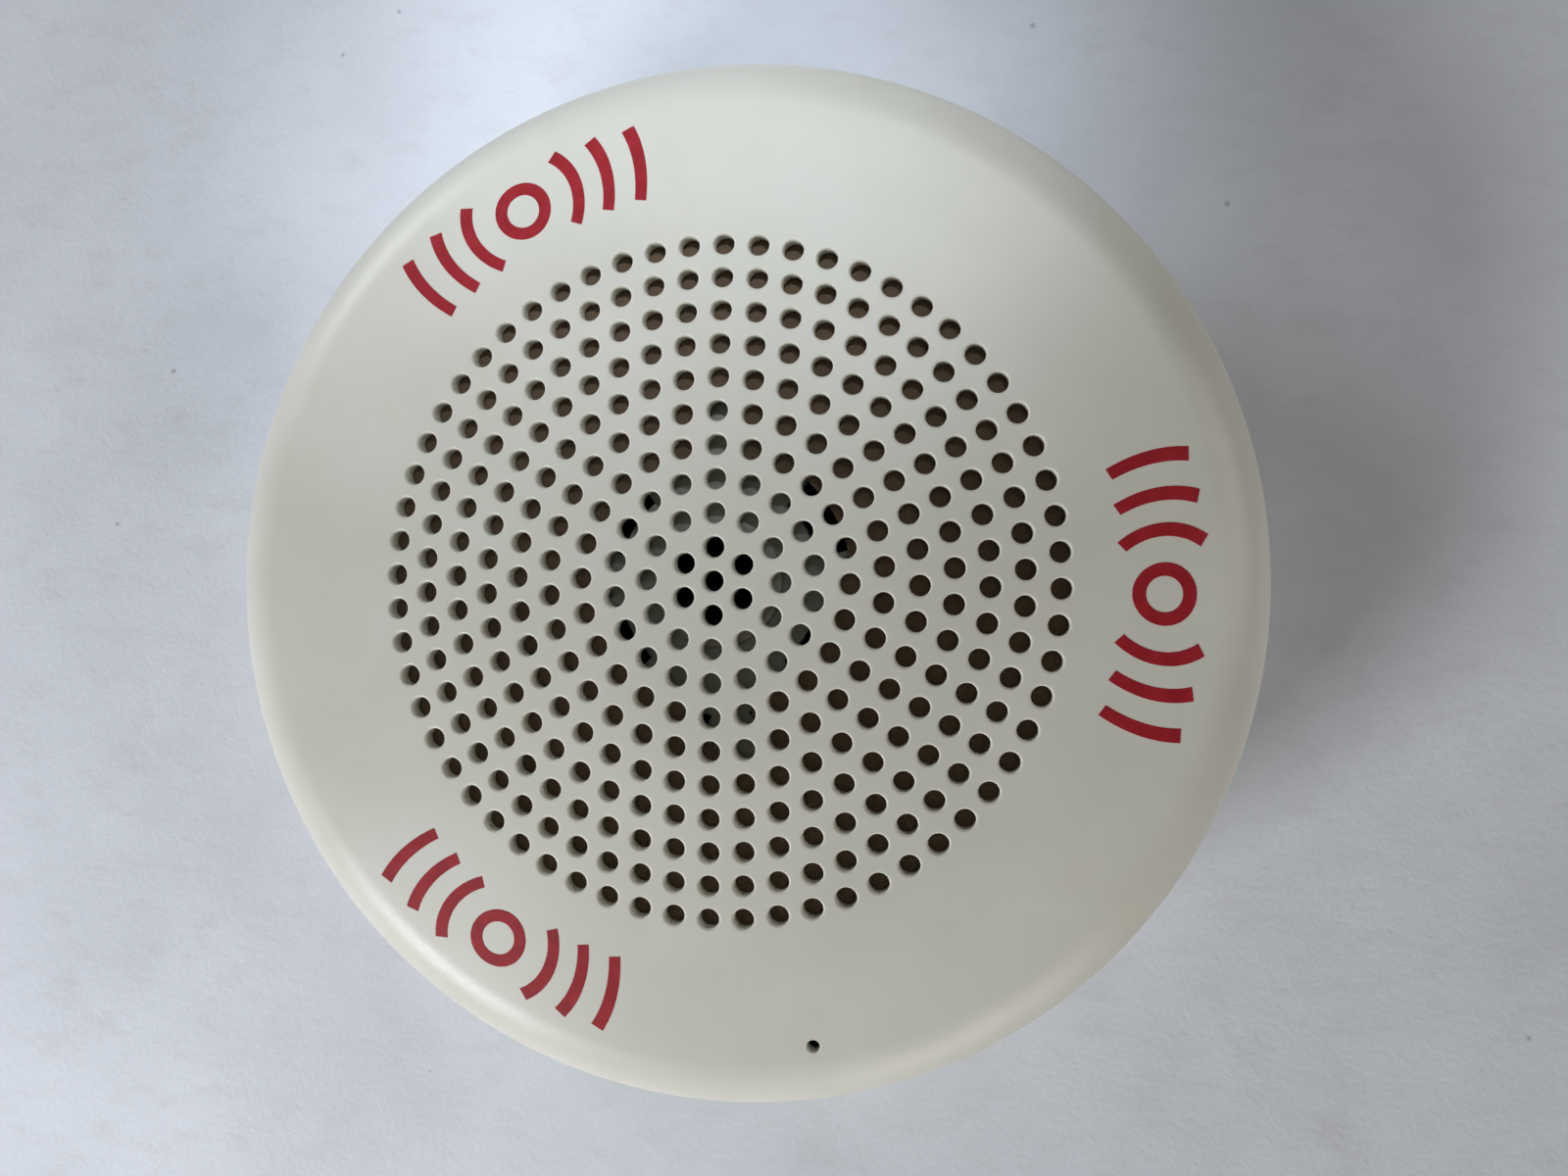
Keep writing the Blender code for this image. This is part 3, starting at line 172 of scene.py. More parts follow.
def dottedFinish(spec):  # a moulded or pressed face with soiled patches, rare specks and hairline scuffs
    material, tree, shader, place, broad = startFinish(spec)
    body = addNode(tree, "ShaderNodeValToRGB",
                   {"stops": spreadStops(spec["colours"], *rampSpans["dotted"])},
                   {"Fac": broad}).outputs["Color"]
    for layer in spec["layers"]:
        pattern = addNode(tree, "ShaderNodeMapping",
                          {"Rotation": (0, 0, layer.get("turn", 0)),
                           "Scale": layer.get("stretch", (1, 1, 1))}, {"Vector": place}).outputs["Vector"]
        if "rare" in layer:  # a dot in a few of the cells
            cells = addNode(tree, "ShaderNodeTexVoronoi",
                            {"Scale": perMm(layer["sizeMm"])}, {"Vector": pattern})
            pick = addNode(tree, "ShaderNodeSeparateColor", None, {"Color": cells.outputs["Color"]})
            few = addNode(tree, "ShaderNodeMath", {"operation": "GREATER_THAN", 1: layer["rare"]},
                          {0: pick.outputs["Red"]}).outputs["Value"]
            source = cells.outputs["Distance"]
            fromLow, fromHigh = layer["dot"]
            strong, weak = layer["share"], 0.0
        else:  # a cloudy patch or streak
            few = None
            source = addNode(tree, "ShaderNodeTexNoise",
                             {"Scale": perMm(layer["sizeMm"]), "Detail": 5.0, "Roughness": 0.65},
                             {"Vector": pattern}).outputs["Fac"]
            fromLow, fromHigh = layer["range"]
            strong, weak = 0.0, layer["share"]
        share = addNode(tree, "ShaderNodeMapRange",
                        {"From Min": fromLow, "From Max": fromHigh, "To Min": strong, "To Max": weak},
                        {"Value": source}).outputs["Result"]
        if few:
            share = addNode(tree, "ShaderNodeMath", {"operation": "MULTIPLY"},
                            {0: share, 1: few}).outputs["Value"]
        body = addNode(tree, "ShaderNodeMix", {"data_type": "RGBA", 7: hexColour(layer["colour"])},
                       {0: share, 6: body}).outputs[2]
    grain = addNode(tree, "ShaderNodeTexNoise",
                    {"Scale": perMm(spec["grainMm"]), "Detail": 2.0, "Roughness": 0.6},
                    {"Vector": place}).outputs["Fac"]
    endFinish(tree, shader, spec, body, grain, grain)
    return material


# mesh helpers, all in metres

pointRadius = 1e-7  # a ring smaller than this is one point
mergeMm = 1e-5  # points closer than this count as one when a flat outline is filled


def polar(radius, turn):
    return radius * math.cos(turn), radius * math.sin(turn)


def ringOfVerts(bm, radius, height, count, centre=(0, 0)):
    if radius < pointRadius:
        return [bm.verts.new((centre[0], centre[1], height))]
    spots = [polar(radius, math.tau * k / count) for k in range(count)]
    return [bm.verts.new((centre[0] + x, centre[1] + y, height)) for x, y in spots]


def bridge(bm, first, second):  # quads between two closed rings, or a fan to a single point
    count = max(len(first), len(second))
    for k in range(count):
        after = (k + 1) % count
        corners = [first[k % len(first)], first[after % len(first)],
                   second[after % len(second)], second[k % len(second)]]
        corners = list(dict.fromkeys(corners))
        if len(corners) > 2:
            bm.faces.new(corners)


def lathe(bm, profile, count, centre=(0, 0), closed=True):  # (radius, height) pairs turned about Z
    rings = [ringOfVerts(bm, radius, height, count, centre) for radius, height in profile]
    for upper, lower in zip(rings, rings[1:] + rings[:1] if closed else rings[1:]):
        if len(upper) > 1 or len(lower) > 1:
            bridge(bm, upper, lower)


def thickLine(top, thickness):  # closed section of a thin sheet below its upper line
    return top + [(radius, height - thickness) for radius, height in reversed(top)]


def roundCorners(points, radius, steps=3, sideShare=0.45):  # of a closed section
    made = []
    for k, corner in enumerate(points):
        here = Vector(corner)
        before = Vector(points[k - 1]) - here
        after = Vector(points[(k + 1) % len(points)]) - here
        reach = min(radius, before.length * sideShare, after.length * sideShare)
        start = here + before.normalized() * reach
        end = here + after.normalized() * reach
        for step in range(steps + 1):
            t = step / steps
            made.append(tuple(start * (1 - t) ** 2 + here * (2 * t * (1 - t)) + end * t * t))
    return made


def insideLoop(point, loop):
    inside = False
    for a, b in zip(loop, loop[1:] + loop[:1]):
        if (a.y > point.y) != (b.y > point.y):
            if point.x < (b.x - a.x) * (point.y - a.y) / (b.y - a.y) + a.x:
                inside = not inside
    return inside


def fillFlat(bm, loops, extra=()):  # triangles between the first loop and the loops inside it
    verts = [vert for loop in loops for vert in loop] + list(extra)
    owner = [number for number, loop in enumerate(loops) for vert in loop] + [-1] * len(extra)
    edges = []
    start = 0
    for loop in loops:
        edges += [(start + k, start + (k + 1) % len(loop)) for k in range(len(loop))]
        start += len(loop)
    flat = [Vector((vert.co.x / mm, vert.co.y / mm)) for vert in verts]
    made = delaunay_2d_cdt(flat, edges, [], 0, mergeMm)
    source = [origin[0] for origin in made[3]]
    outline = flat[:len(loops[0])]
    for face in made[2]:
        corners = [source[k] for k in face]
        owners = {owner[k] for k in corners}
        middle = sum((flat[k] for k in corners), Vector((0, 0))) / 3
        inHole = len(owners) == 1 and min(owners) > 0
        outside = owners == {0} and not insideLoop(middle, outline)
        if not inHole and not outside:
            bm.faces.new([verts[k] for k in corners])


def arcLine(radius, start, end, steps, centre=(0, 0)):
    spots = [polar(radius, start + (end - start) * step / steps) for step in range(steps + 1)]
    return [(centre[0] + x, centre[1] + y) for x, y in spots]


def fullCircle(radius, count):
    return arcLine(radius, 0, math.tau * (count - 1) / count, count - 1)


def roundHole(radius, count, centre):  # clockwise, so that its outer side is the hole
    return arcLine(radius, math.tau, math.tau / count, count - 1, centre)


def softPlate(bm, loops, bottom, top, edge, steps=3):  # flat outlines, holes clockwise, with rounded edges
    bends = [math.pi / 2 * step / steps for step in range(steps + 1)]
    section = [(edge * (1 - math.sin(bend)), top - edge * (1 - math.cos(bend))) for bend in bends]
    section += [(inset, bottom + top - height) for inset, height in reversed(section)]
    uppers, lowers = [], []
    for loop in loops:
        points = [Vector(point) for point in loop]
        outward = []
        for k in range(len(points)):
            along = (points[(k + 1) % len(points)] - points[k - 1]).normalized()
            outward.append(Vector((along.y, -along.x)))
        rings = []
        for inset, height in section:
            rings.append([bm.verts.new((*(point - way * inset), height))
                          for point, way in zip(points, outward)])
        for upper, lower in zip(rings, rings[1:]):
            bridge(bm, upper, lower)
        uppers.append(rings[0])
        lowers.append(rings[-1])
    fillFlat(bm, uppers)
    fillFlat(bm, lowers)


def meshFrom(name, bm):
    mesh = bpy.data.meshes.new(name)
    bmesh.ops.recalc_face_normals(bm, faces=bm.faces)
    bm.to_mesh(mesh)
    bm.free()
    made = bpy.data.objects.new(name, mesh)
    scene.collection.objects.link(made)
    return made


def plateTool(name, loops, low, high, edge):
    bm = bmesh.new()
    softPlate(bm, loops, low, high, edge)
    return meshFrom(name, bm)


def latheTool(name, section, sides, centre=(0, 0), closed=True):
    bm = bmesh.new()
    lathe(bm, section, sides, centre, closed)
    return meshFrom(name, bm)


def smoothBelow(mesh, degrees):
    mesh.shade_smooth()
    mesh.set_sharp_from_angle(angle=math.radians(degrees))


def makePiece(name, bm, material, sharp=40):
    piece = meshFrom(name, bm)
    smoothBelow(piece.data, sharp)
    piece.data.materials.append(material)
    return piece


def unite(piece, tools, sharp=40, operation="UNION"):  # joins closed tools to a piece, or cuts them out
    for tool in tools:
        step = piece.modifiers.new(tool.name, "BOOLEAN")
        step.operation = operation
        step.solver = "MANIFOLD"
        step.object = tool
    graph = bpy.context.evaluated_depsgraph_get()
    joined = bpy.data.meshes.new_from_object(piece.evaluated_get(graph))
    piece.modifiers.clear()
    piece.data = joined
    smoothBelow(joined, sharp)
    for tool in tools:
        bpy.data.objects.remove(tool)


# front cover: domed face with its holes, shoulder, skirt, lugs and pegs

coverSize = {
    "radius": 82.5 * mm, "rimRadius": 83.0 * mm, "lift": 0.6 * mm, "height": 52.0 * mm, "wall": 2.5 * mm,
    "slope": 0.10, "flatRadius": 25.4 * mm, "blend": 9.0 * mm, "shoulder": 10.5 * mm, "lip": 0.5 * mm,
    "pitch": 5.08 * mm, "rings": 10, "perRing": 6, "turns": 192,
    "bandRings": (56.5 * mm, 60.5 * mm, 64.5 * mm, 68.5 * mm),
    "pinPlace": polar(71.3 * mm, math.radians(-77)), "pinClear": 2.4 * mm,
    "shoulderSteps": 20, "innerSteps": 14, "skirtSteps": 7, "lipSteps": 4,
}
holeShape = {"radius": 1.5875 * mm, "edge": 0.30 * mm, "guard": 0.14 * mm, "sides": 24, "edgeSteps": 3}
pinShape = {"radius": 1.0 * mm, "edge": 0.15 * mm, "guard": 0.10 * mm, "sides": 20, "edgeSteps": 3}
lugSize = {"angles": (60, 180, 300), "span": 16, "inner": 76.8 * mm, "outer": 81.2 * mm,
           "low": 4.3 * mm, "high": 7.3 * mm, "edge": 0.3 * mm, "arcSteps": 12}
pegSize = {"circle": 22.86 * mm, "angle": math.radians(96.3), "peg": 1.8 * mm, "stake": 1.2 * mm,
           "head": 2.0 * mm, "top": 50.6 * mm, "shelf": 47.6 * mm, "headTop": 45.8 * mm, "headLow": 44.9 * mm,
           "crown": 1.6 * mm, "crownRise": 0.2 * mm, "tip": 0.9 * mm, "sides": 20}
absCover = {  # moulded ABS: satin off-white with a fine spark texture, yellowed patches, specks and scuffs
    "name": "absMouldedOffWhite", "ior": 1.53, "specular": 0.42,
    "colours": ["#D0CEC1", "#D4D2C5", "#D8D6CB"], "patchMm": 26, "grainMm": 0.35, "roughness": (0.34, 0.46),
    "depthMm": 0.012,
    "layers": [
        {"colour": "#CFC8B4", "sizeMm": 18, "range": (0.55, 0.82), "share": 0.30},
        {"colour": "#B9B5A8", "sizeMm": 6, "range": (0.68, 0.78), "share": 0.22,
         "stretch": (0.06, 1, 1), "turn": 0.5},
        {"colour": "#6B6253", "sizeMm": 7, "rare": 0.985, "dot": (0.012, 0.030), "share": 0.9},
    ],
}


def faceHeight(radius):  # flat in the middle, then a shallow cone, with a soft change between them
    flat, blend = coverSize["flatRadius"], coverSize["blend"]
    beyond = radius - flat + math.hypot(radius - flat, blend)
    atCentre = -flat + math.hypot(flat, blend)
    return coverSize["height"] - coverSize["slope"] / 2 * (beyond - atCentre)


backDrop = coverSize["wall"] * math.hypot(1, coverSize["slope"])  # from the face to its back, along Z


def holeRings(bm, centre, shape):  # rounded edge and wall of one hole, with a guard ring on the face
    line = [(shape["radius"] + shape["edge"] + shape["guard"], 0)]
    for step in range(shape["edgeSteps"] + 1):
        bend = math.pi / 2 * step / shape["edgeSteps"]
        line.append((shape["radius"] + shape["edge"] * (1 - math.sin(bend)),
                     -shape["edge"] * (1 - math.cos(bend))))
    line.append((shape["radius"], -backDrop))
    rings = [ringOfVerts(bm, radius, height, shape["sides"], centre) for radius, height in line]
    for ring in rings:
        for vert in ring:
            vert.co.z += faceHeight(vert.co.xy.length)
    for upper, lower in zip(rings, rings[1:]):
        bridge(bm, upper, lower)
    return rings[0], rings[-1]


def holePlaces():  # one in the middle, and each ring has six more than the ring inside it
    places = []
    for number in range(coverSize["rings"] + 1):
        count = max(1, coverSize["perRing"] * number)
        for k in range(count):
            places.append(polar(number * coverSize["pitch"], math.pi / 2 + math.tau * k / count))
    return places


def coverSection():  # shoulder, skirt and lip outside, then the same line inside, back to the face
    size = coverSize
    tilt = math.atan(size["slope"])
    axis = size["radius"] - size["shoulder"]
    centre = faceHeight(axis + size["shoulder"] * math.sin(tilt)) - size["shoulder"] * math.cos(tilt)
    inner = size["shoulder"] - size["wall"]
    outside = arcLine(size["shoulder"], math.pi / 2 - tilt, 0, size["shoulderSteps"], (axis, centre))
    inside = arcLine(inner, math.pi / 2 - tilt, 0, size["innerSteps"], (axis, centre))
    flare = size["rimRadius"] - size["radius"]
    foot = size["lift"] + size["lip"]
    for step in range(1, size["skirtSteps"]):
        t = step / size["skirtSteps"]
        outside.append((size["radius"] + flare * t, centre + (foot - centre) * t))
        inside.append((axis + inner + flare * t, centre + (foot - centre) * t))
    outerLip = size["rimRadius"] - size["lip"]
    innerLip = size["rimRadius"] - size["wall"] + size["lip"]
    outside += arcLine(size["lip"], 0, -math.pi / 2, size["lipSteps"], (outerLip, foot))
    inside += arcLine(size["lip"], math.pi, 3 * math.pi / 2, size["lipSteps"], (innerLip, foot))
    return outside + inside[::-1]


def buildCover():
    bm = bmesh.new()
    faceLoops, backLoops = [], []
    holes = [(place, holeShape) for place in holePlaces()] + [(coverSize["pinPlace"], pinShape)]
    for place, shape in holes:
        upper, lower = holeRings(bm, place, shape)
        faceLoops.append(upper)
        backLoops.append(lower)
    rings = [ringOfVerts(bm, radius, height, coverSize["turns"]) for radius, height in coverSection()]
    for upper, lower in zip(rings, rings[1:]):
        bridge(bm, upper, lower)
    band = []
    for radius in coverSize["bandRings"]:  # steady triangles on the plain band
        for vert in ringOfVerts(bm, radius, faceHeight(radius), coverSize["turns"]):
            if (vert.co.xy - Vector(coverSize["pinPlace"])).length > coverSize["pinClear"]:
                band.append(vert)
            else:
                bm.verts.remove(vert)
    fillFlat(bm, [rings[0]] + faceLoops, band)
    fillFlat(bm, [rings[-1]] + backLoops)
    return bm


def lugLoop(size, middle):
    half = math.radians(size["span"] / 2)
    turn = math.radians(middle)
    outside = arcLine(size["outer"], turn - half, turn + half, lugSize["arcSteps"])
    return outside + arcLine(size["inner"], turn + half, turn - half, lugSize["arcSteps"])


def lugTool(name, size, middle, low, high):
    return plateTool(name, [lugLoop(size, middle)], low, high, lugSize["edge"])


def pegTool(number):
    size = pegSize
    section = [(0, size["top"]), (size["peg"], size["top"]), (size["peg"], size["shelf"]),
               (size["stake"], size["shelf"]), (size["stake"], size["headTop"]),
               (size["head"], size["headTop"]), (size["crown"], size["headLow"] + size["crownRise"]),
               (size["tip"], size["headLow"]), (0, size["headLow"])]
    place = polar(size["circle"], size["angle"] + math.pi * number)
    return latheTool("pegTool%d" % number, section, size["sides"], place, closed=False)


cover = makePiece("coverShell", buildCover(), dottedFinish(absCover))
coverTools = [lugTool("lugTool%d" % middle, lugSize, middle, lugSize["low"], lugSize["high"])
              for middle in lugSize["angles"]]
unite(cover, coverTools + [pegTool(number) for number in range(2)], sharp=48)
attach(cover, "cover")
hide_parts("front_cover")
print("cover:", len(cover.data.polygons), "faces")


# red sound-ring marks on the smooth band, in three places

markSize = {
    "angles": (-0.4, 119.5, 239.2), "middle": 65.35 * mm, "half": 6.35 * mm, "stroke": 2.0 * mm,
    "film": 0.05 * mm, "sunk": 0.02 * mm, "feather": 0.06 * mm, "ring": 3.6 * mm,
    "arcs": (9.3 * mm, 14.4 * mm, 19.8 * mm), "ringSides": 48, "arcSteps": 24,
}
inkRed = {  # pad-printed vinyl ink: flat deep red with a faint mottle where it is thin
    "name": "inkPadPrintedRed", "ior": 1.50, "specular": 0.2,
    "colours": ["#8E1620", "#961923", "#9E2029"], "patchMm": 3.0, "grainMm": 0.3, "roughness": (0.48, 0.6),
    "depthMm": 0.006,
}


def strokeOnFace(bm, line, ends, place):  # an ink line laid on the face, along and across the band
    half = markSize["stroke"] / 2
    across = [(-half, -markSize["sunk"]), (markSize["feather"] - half, markSize["film"]),
              (half - markSize["feather"], markSize["film"]), (half, -markSize["sunk"])]
    rows = []
    for k, point in enumerate(line):
        before = point if ends and k == 0 else line[k - 1]
        after = point if ends and k == len(line) - 1 else line[(k + 1) % len(line)]
        along = (Vector(after) - Vector(before)).normalized()
        row = []
        for shift, rise in across:
            aside = point[0] - along.y * shift
            outward = point[1] + along.x * shift
            radius = markSize["middle"] + outward
            x, y = polar(radius, place + aside / markSize["middle"])
            row.append(bm.verts.new((x, y, faceHeight(radius) + rise)))
        rows.append(row)
    following = rows[1:] if ends else rows[1:] + rows[:1]
    for row, after in zip(rows, following):
        bridge(bm, row, after)
    if ends:
        bm.faces.new(rows[0])
        bm.faces.new(rows[-1][::-1])


inkFinish = grainFinish(inkRed)
for number, angle in enumerate(markSize["angles"], 1):
    bm = bmesh.new()
    place = math.radians(angle)
    strokeOnFace(bm, fullCircle(markSize["ring"], markSize["ringSides"]), False, place)
    for radius in markSize["arcs"]:
        reach = math.asin((markSize["half"] - markSize["stroke"] / 4) / radius)
        for side in (0, math.pi):
            arc = arcLine(radius, side - reach, side + reach, markSize["arcSteps"])
            strokeOnFace(bm, arc, True, place)
    mark = makePiece("redMark%d" % number, bm, inkFinish)
    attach(mark, "cover")
print("marks:", len(markSize["angles"]))


# centre bracket behind the grille: notched disc, hub, and two arms with staked pads

bracketSize = {
    "radius": 20.4 * mm, "waist": 15.6 * mm, "notch": (math.radians(14.5), math.radians(49)),
    "bore": 7.4 * mm, "boreClear": 0.02 * mm, "top": 47.5 * mm, "sheet": 1.6 * mm, "edge": 0.25 * mm,
    "hub": 9.9 * mm, "hubRise": 1.0 * mm, "arm": 6.0 * mm, "armStep": 0.2 * mm, "pad": 3.9 * mm,
    "stakeHole": 1.5 * mm, "tongue": 2.9 * mm, "tongueStep": 0.25 * mm,
    "tongueEnds": ((-0.9 * mm, 25.2 * mm), (4.2 * mm, -25.0 * mm)),
    "notchSteps": 16, "rimSteps": 40, "padSteps": 24, "holeSides": 20, "boreSides": 48, "hubSides": 64,
    "padSides": 40, "tongueSides": 32,
}
absBracket = {  # the same ABS as the cover, coloured greyer and darker as painted shade for its place behind the grille, matt and a little dusty
    "name": "absGreyPaintedShade", "ior": 1.53, "specular": 0.4,
    # greyer and darker than the cover's colours: painted shade, not a different batch of plastic
    "colours": ["#9F9C90", "#A8A599", "#B0ADA2"], "patchMm": 14, "grainMm": 0.4, "roughness": (0.45, 0.6),
    "depthMm": 0.012,
}


def bracketLoop():
    size = bracketSize
    near, far = size["notch"]
    loop = []
    for turn in (0, math.pi):
        loop += arcLine(size["radius"], turn - near, turn + near, size["notchSteps"])
        loop += arcLine(size["waist"], turn + near, turn + far, size["notchSteps"])
        loop += arcLine(size["radius"], turn + far, turn + math.pi - far, size["rimSteps"])
        loop += arcLine(size["waist"], turn + math.pi - far, turn + math.pi - near, size["notchSteps"])
    return loop


def armTool(number):
    size = bracketSize
    turn = pegSize["angle"] + math.pi * number
    tip = polar(pegSize["circle"], turn)
    padTurn = math.asin(size["arm"] / 2 / size["pad"])
    foot = math.hypot(size["hub"], size["arm"] / 2)
    footTurn = math.asin(size["arm"] / 2 / foot)
    loop = arcLine(size["pad"], turn - math.pi + padTurn, turn + math.pi - padTurn, size["padSteps"], tip)
    loop += [polar(foot, turn + footTurn), polar(foot, turn - footTurn)]
    hole = roundHole(size["stakeHole"], size["holeSides"], tip)
    low, high = size["top"] - size["sheet"] + size["armStep"], size["top"] - size["armStep"]
    return plateTool("armTool%d" % number, [loop, hole], low, high, size["armStep"])


def tongueTool(number):  # the pad's rounded tongue, reaching further out beside the peg
    size = bracketSize
    tip = polar(pegSize["circle"], pegSize["angle"] + math.pi * number)
    points = roundHole(size["pad"] - size["armStep"], size["padSides"], tip)
    points += roundHole(size["tongue"], size["tongueSides"], size["tongueEnds"][number])
    loop = [points[k] for k in convex_hull_2d([Vector(point) for point in points])]
    hole = roundHole(size["stakeHole"] + size["boreClear"], size["holeSides"], tip)
    low, high = size["top"] - size["sheet"] + size["tongueStep"], size["top"] - size["tongueStep"]
    return plateTool("tongueTool%d" % number, [loop, hole], low, high, size["armStep"])


def hubTool():
    size = bracketSize
    low, high = size["top"] - size["sheet"] / 2, size["top"] + size["hubRise"]
    inner = size["bore"] + size["boreClear"]
    section = [(size["hub"], high), (size["hub"], low), (inner, low), (inner, high)]
    return latheTool("hubTool", roundCorners(section, size["edge"]), size["hubSides"])


bm = bmesh.new()
softPlate(bm, [bracketLoop(), roundHole(bracketSize["bore"], bracketSize["boreSides"], (0, 0))],
          bracketSize["top"] - bracketSize["sheet"], bracketSize["top"], bracketSize["edge"])
bracket = makePiece("centreBracket", bm, grainFinish(absBracket))
unite(bracket, [armTool(0), armTool(1), tongueTool(0), tongueTool(1), hubTool()])
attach(bracket, "cover")
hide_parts("centre_bracket")
print("bracket:", len(bracket.data.polygons), "faces")


# dust cloth stretched across the back of the grille, cut out over the bracket and its pads

clothSize = {
    "radius": 53.2 * mm, "opening": 18.5 * mm, "bite": (20.3 * mm, math.radians(11), math.radians(51)),
    "pegCuts": ((-2.5 * mm, 22.7 * mm, 2.1 * mm), (2.9 * mm, -22.6 * mm, 3.5 * mm)),
    "tongueCuts": ((-0.3 * mm, 24.0 * mm, 3.6 * mm), (4.0 * mm, -25.0 * mm, 2.9 * mm),
                   (-0.8 * mm, -20.6 * mm, 2.4 * mm)),
    "gap": 0.3 * mm, "sheet": 0.5 * mm, "turns": 360, "rows": 9,
}
clothBrown = {  # plain-woven cotton, brown, with a dusty nap; threads drawn at 0.36 mm so that they show
    "name": "cottonWovenBrown", "ior": 1.45, "specular": 0.15, "sheen": 0.15,
    "colours": ["#635343", "#6E5C4B", "#786553"], "patchMm": 9, "axes": "XY", "threadMm": 0.36,
    "roughness": (0.85, 0.95), "depthMm": 0.05,
}


def clothEdge(turn):  # distance from the axis to the cut edge
    size = clothSize
    reach, first, last = size["bite"]
    if not first < turn < last:
        reach = size["opening"]
    for x, y, radius in size["pegCuts"] + size["tongueCuts"]:
        ahead = x * math.cos(turn) + y * math.sin(turn)
        beside = y * math.cos(turn) - x * math.sin(turn)
        if ahead > 0 and abs(beside) < radius:
            reach = max(reach, ahead + math.sqrt(radius ** 2 - beside ** 2))
    return reach


def buildCloth():
    size = clothSize
    bm = bmesh.new()
    rings = []
    for row in range(size["rows"] + 1):
        upper, lower = [], []
        for k in range(size["turns"]):
            turn = math.tau * k / size["turns"]
            inner = clothEdge(turn)
            radius = inner + (size["radius"] - inner) * row / size["rows"]
            height = faceHeight(radius) - backDrop - size["gap"]
            upper.append(bm.verts.new((*polar(radius, turn), height)))
            lower.append(bm.verts.new((*polar(radius, turn), height - size["sheet"])))
        rings.append(upper)
        rings.insert(0, lower)
    for first, second in zip(rings, rings[1:] + rings[:1]):
        bridge(bm, first, second)
    return bm


cloth = makePiece("grilleCloth", buildCloth(), threadFinish(clothBrown), sharp=60)
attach(cloth, "cover")
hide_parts("grille_cloth")
print("cloth:", len(cloth.data.polygons), "faces")


# driver: cone, dust cap, surround, spider and gasket

coneSize = {"rim": (43.5 * mm, 39.04 * mm), "shelf": 41.5 * mm, "bend": 0.3 * mm,
            "neck": (13.3 * mm, 28.4 * mm), "power": 1.37, "paper": 0.6 * mm, "ribs": 9, "rib": 0.12 * mm,
            "steps": 54, "sides": 96}
pulpDark = {  # pressed paper pulp: dull dark brown with loose fibres
    "name": "paperPulpPressed", "ior": 1.45, "specular": 0.2,
    "colours": ["#2B2520", "#342D27", "#3E362F"], "patchMm": 6, "grainMm": 0.5, "roughness": (0.85, 0.95),
    "depthMm": 0.05, "stretch": (1, 0.35, 1), "grainTint": 0.5,
}
capSize = {"radius": 15.5 * mm, "rise": 4.5 * mm, "sheet": 0.6 * mm, "steps": 14, "sides": 64}
feltBlack = {  # felted cloth: near black and furry
    "name": "feltBlack", "ior": 1.45, "specular": 0.15, "sheen": 0.3,
    "colours": ["#15130F", "#1C1915", "#24211C"], "patchMm": 4, "grainMm": 0.35, "roughness": (0.88, 0.98),
    "depthMm": 0.06, "grainTint": 0.5,
}
surroundSize = {"lip": 53.2 * mm, "outer": 49.5 * mm, "inner": 43.5 * mm, "end": 41.5 * mm, "top": 42.64 * mm,
                "drop": 2.6 * mm, "pleats": 2, "pleat": 0.8 * mm, "sheet": 0.5 * mm, "steps": 30,
                "sides": 120}
clothDoped = {  # cotton dipped in brown dope: the threads still show under the coat
    "name": "cottonDopedBrown", "ior": 1.48, "specular": 0.3,
    "colours": ["#4C3D31", "#5E4C3D", "#6D5A49"], "patchMm": 8, "axes": "XY", "threadMm": 0.5,
    "roughness": (0.6, 0.8), "depthMm": 0.04,
}
spiderSize = {"outer": 25.7 * mm, "land": 23.4 * mm, "hub": 13.75 * mm, "low": 25.5 * mm, "rise": 2.0 * mm,
              "power": 3, "waves": 4, "wave": 0.45 * mm, "floor": 0.1 * mm, "sheet": 0.5 * mm, "steps": 36,
              "sides": 80}
clothPhenolic = {  # phenolic-dipped cotton: straw yellow, open weave
    "name": "cottonPhenolicStraw", "ior": 1.5, "specular": 0.3,
    "colours": ["#A97F3B", "#BC9148", "#CDA45A"], "patchMm": 8, "axes": "XY", "threadMm": 0.7,
    "roughness": (0.6, 0.8), "depthMm": 0.06,
}
gasketSize = {"inner": 53.5 * mm, "outer": 58.0 * mm, "low": 41.94 * mm, "gap": 0.3 * mm, "edge": 0.6 * mm,
              "sides": 96}
fibreBoard = {  # pressed grey-brown fibre board, matt with short hairs
    "name": "fibreBoardPressed", "ior": 1.45, "specular": 0.2,
    "colours": ["#6E5844", "#7C6550", "#8A735D"], "patchMm": 7, "grainMm": 0.6, "roughness": (0.85, 0.95),
    "depthMm": 0.05, "grainTint": 0.5,
}


def coneLine():  # from the rim down a curved flare to the neck, with pressed stiffening rings
    size = coneSize
    neck, low = size["neck"]
    high = size["rim"][1]
    line = [size["rim"], (size["shelf"] + size["bend"], high)]
    for step in range(size["steps"] + 1):
        t = 1 - step / size["steps"]
        ripple = size["rib"] * math.sin(math.pi * t) * math.cos(math.tau * size["ribs"] * t)
        line.append((neck + (size["shelf"] - neck) * t, low + (high - low) * t ** size["power"] + ripple))
    return line


def capLine():
    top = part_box("dust_cap")[1].z
    dome = (capSize["radius"] ** 2 + capSize["rise"] ** 2) / (2 * capSize["rise"])
    edge = math.asin(capSize["radius"] / dome)
    line = arcLine(dome, math.pi / 2 - edge, math.pi / 2, capSize["steps"], (0, top - dome))
    return line[:-1] + [(0.0, top)]


def pleat(height, count, t):  # one point of a row of pleats that die away at both ends
    return height * math.sin(math.tau * count * t) * math.sqrt(math.sin(math.pi * t))


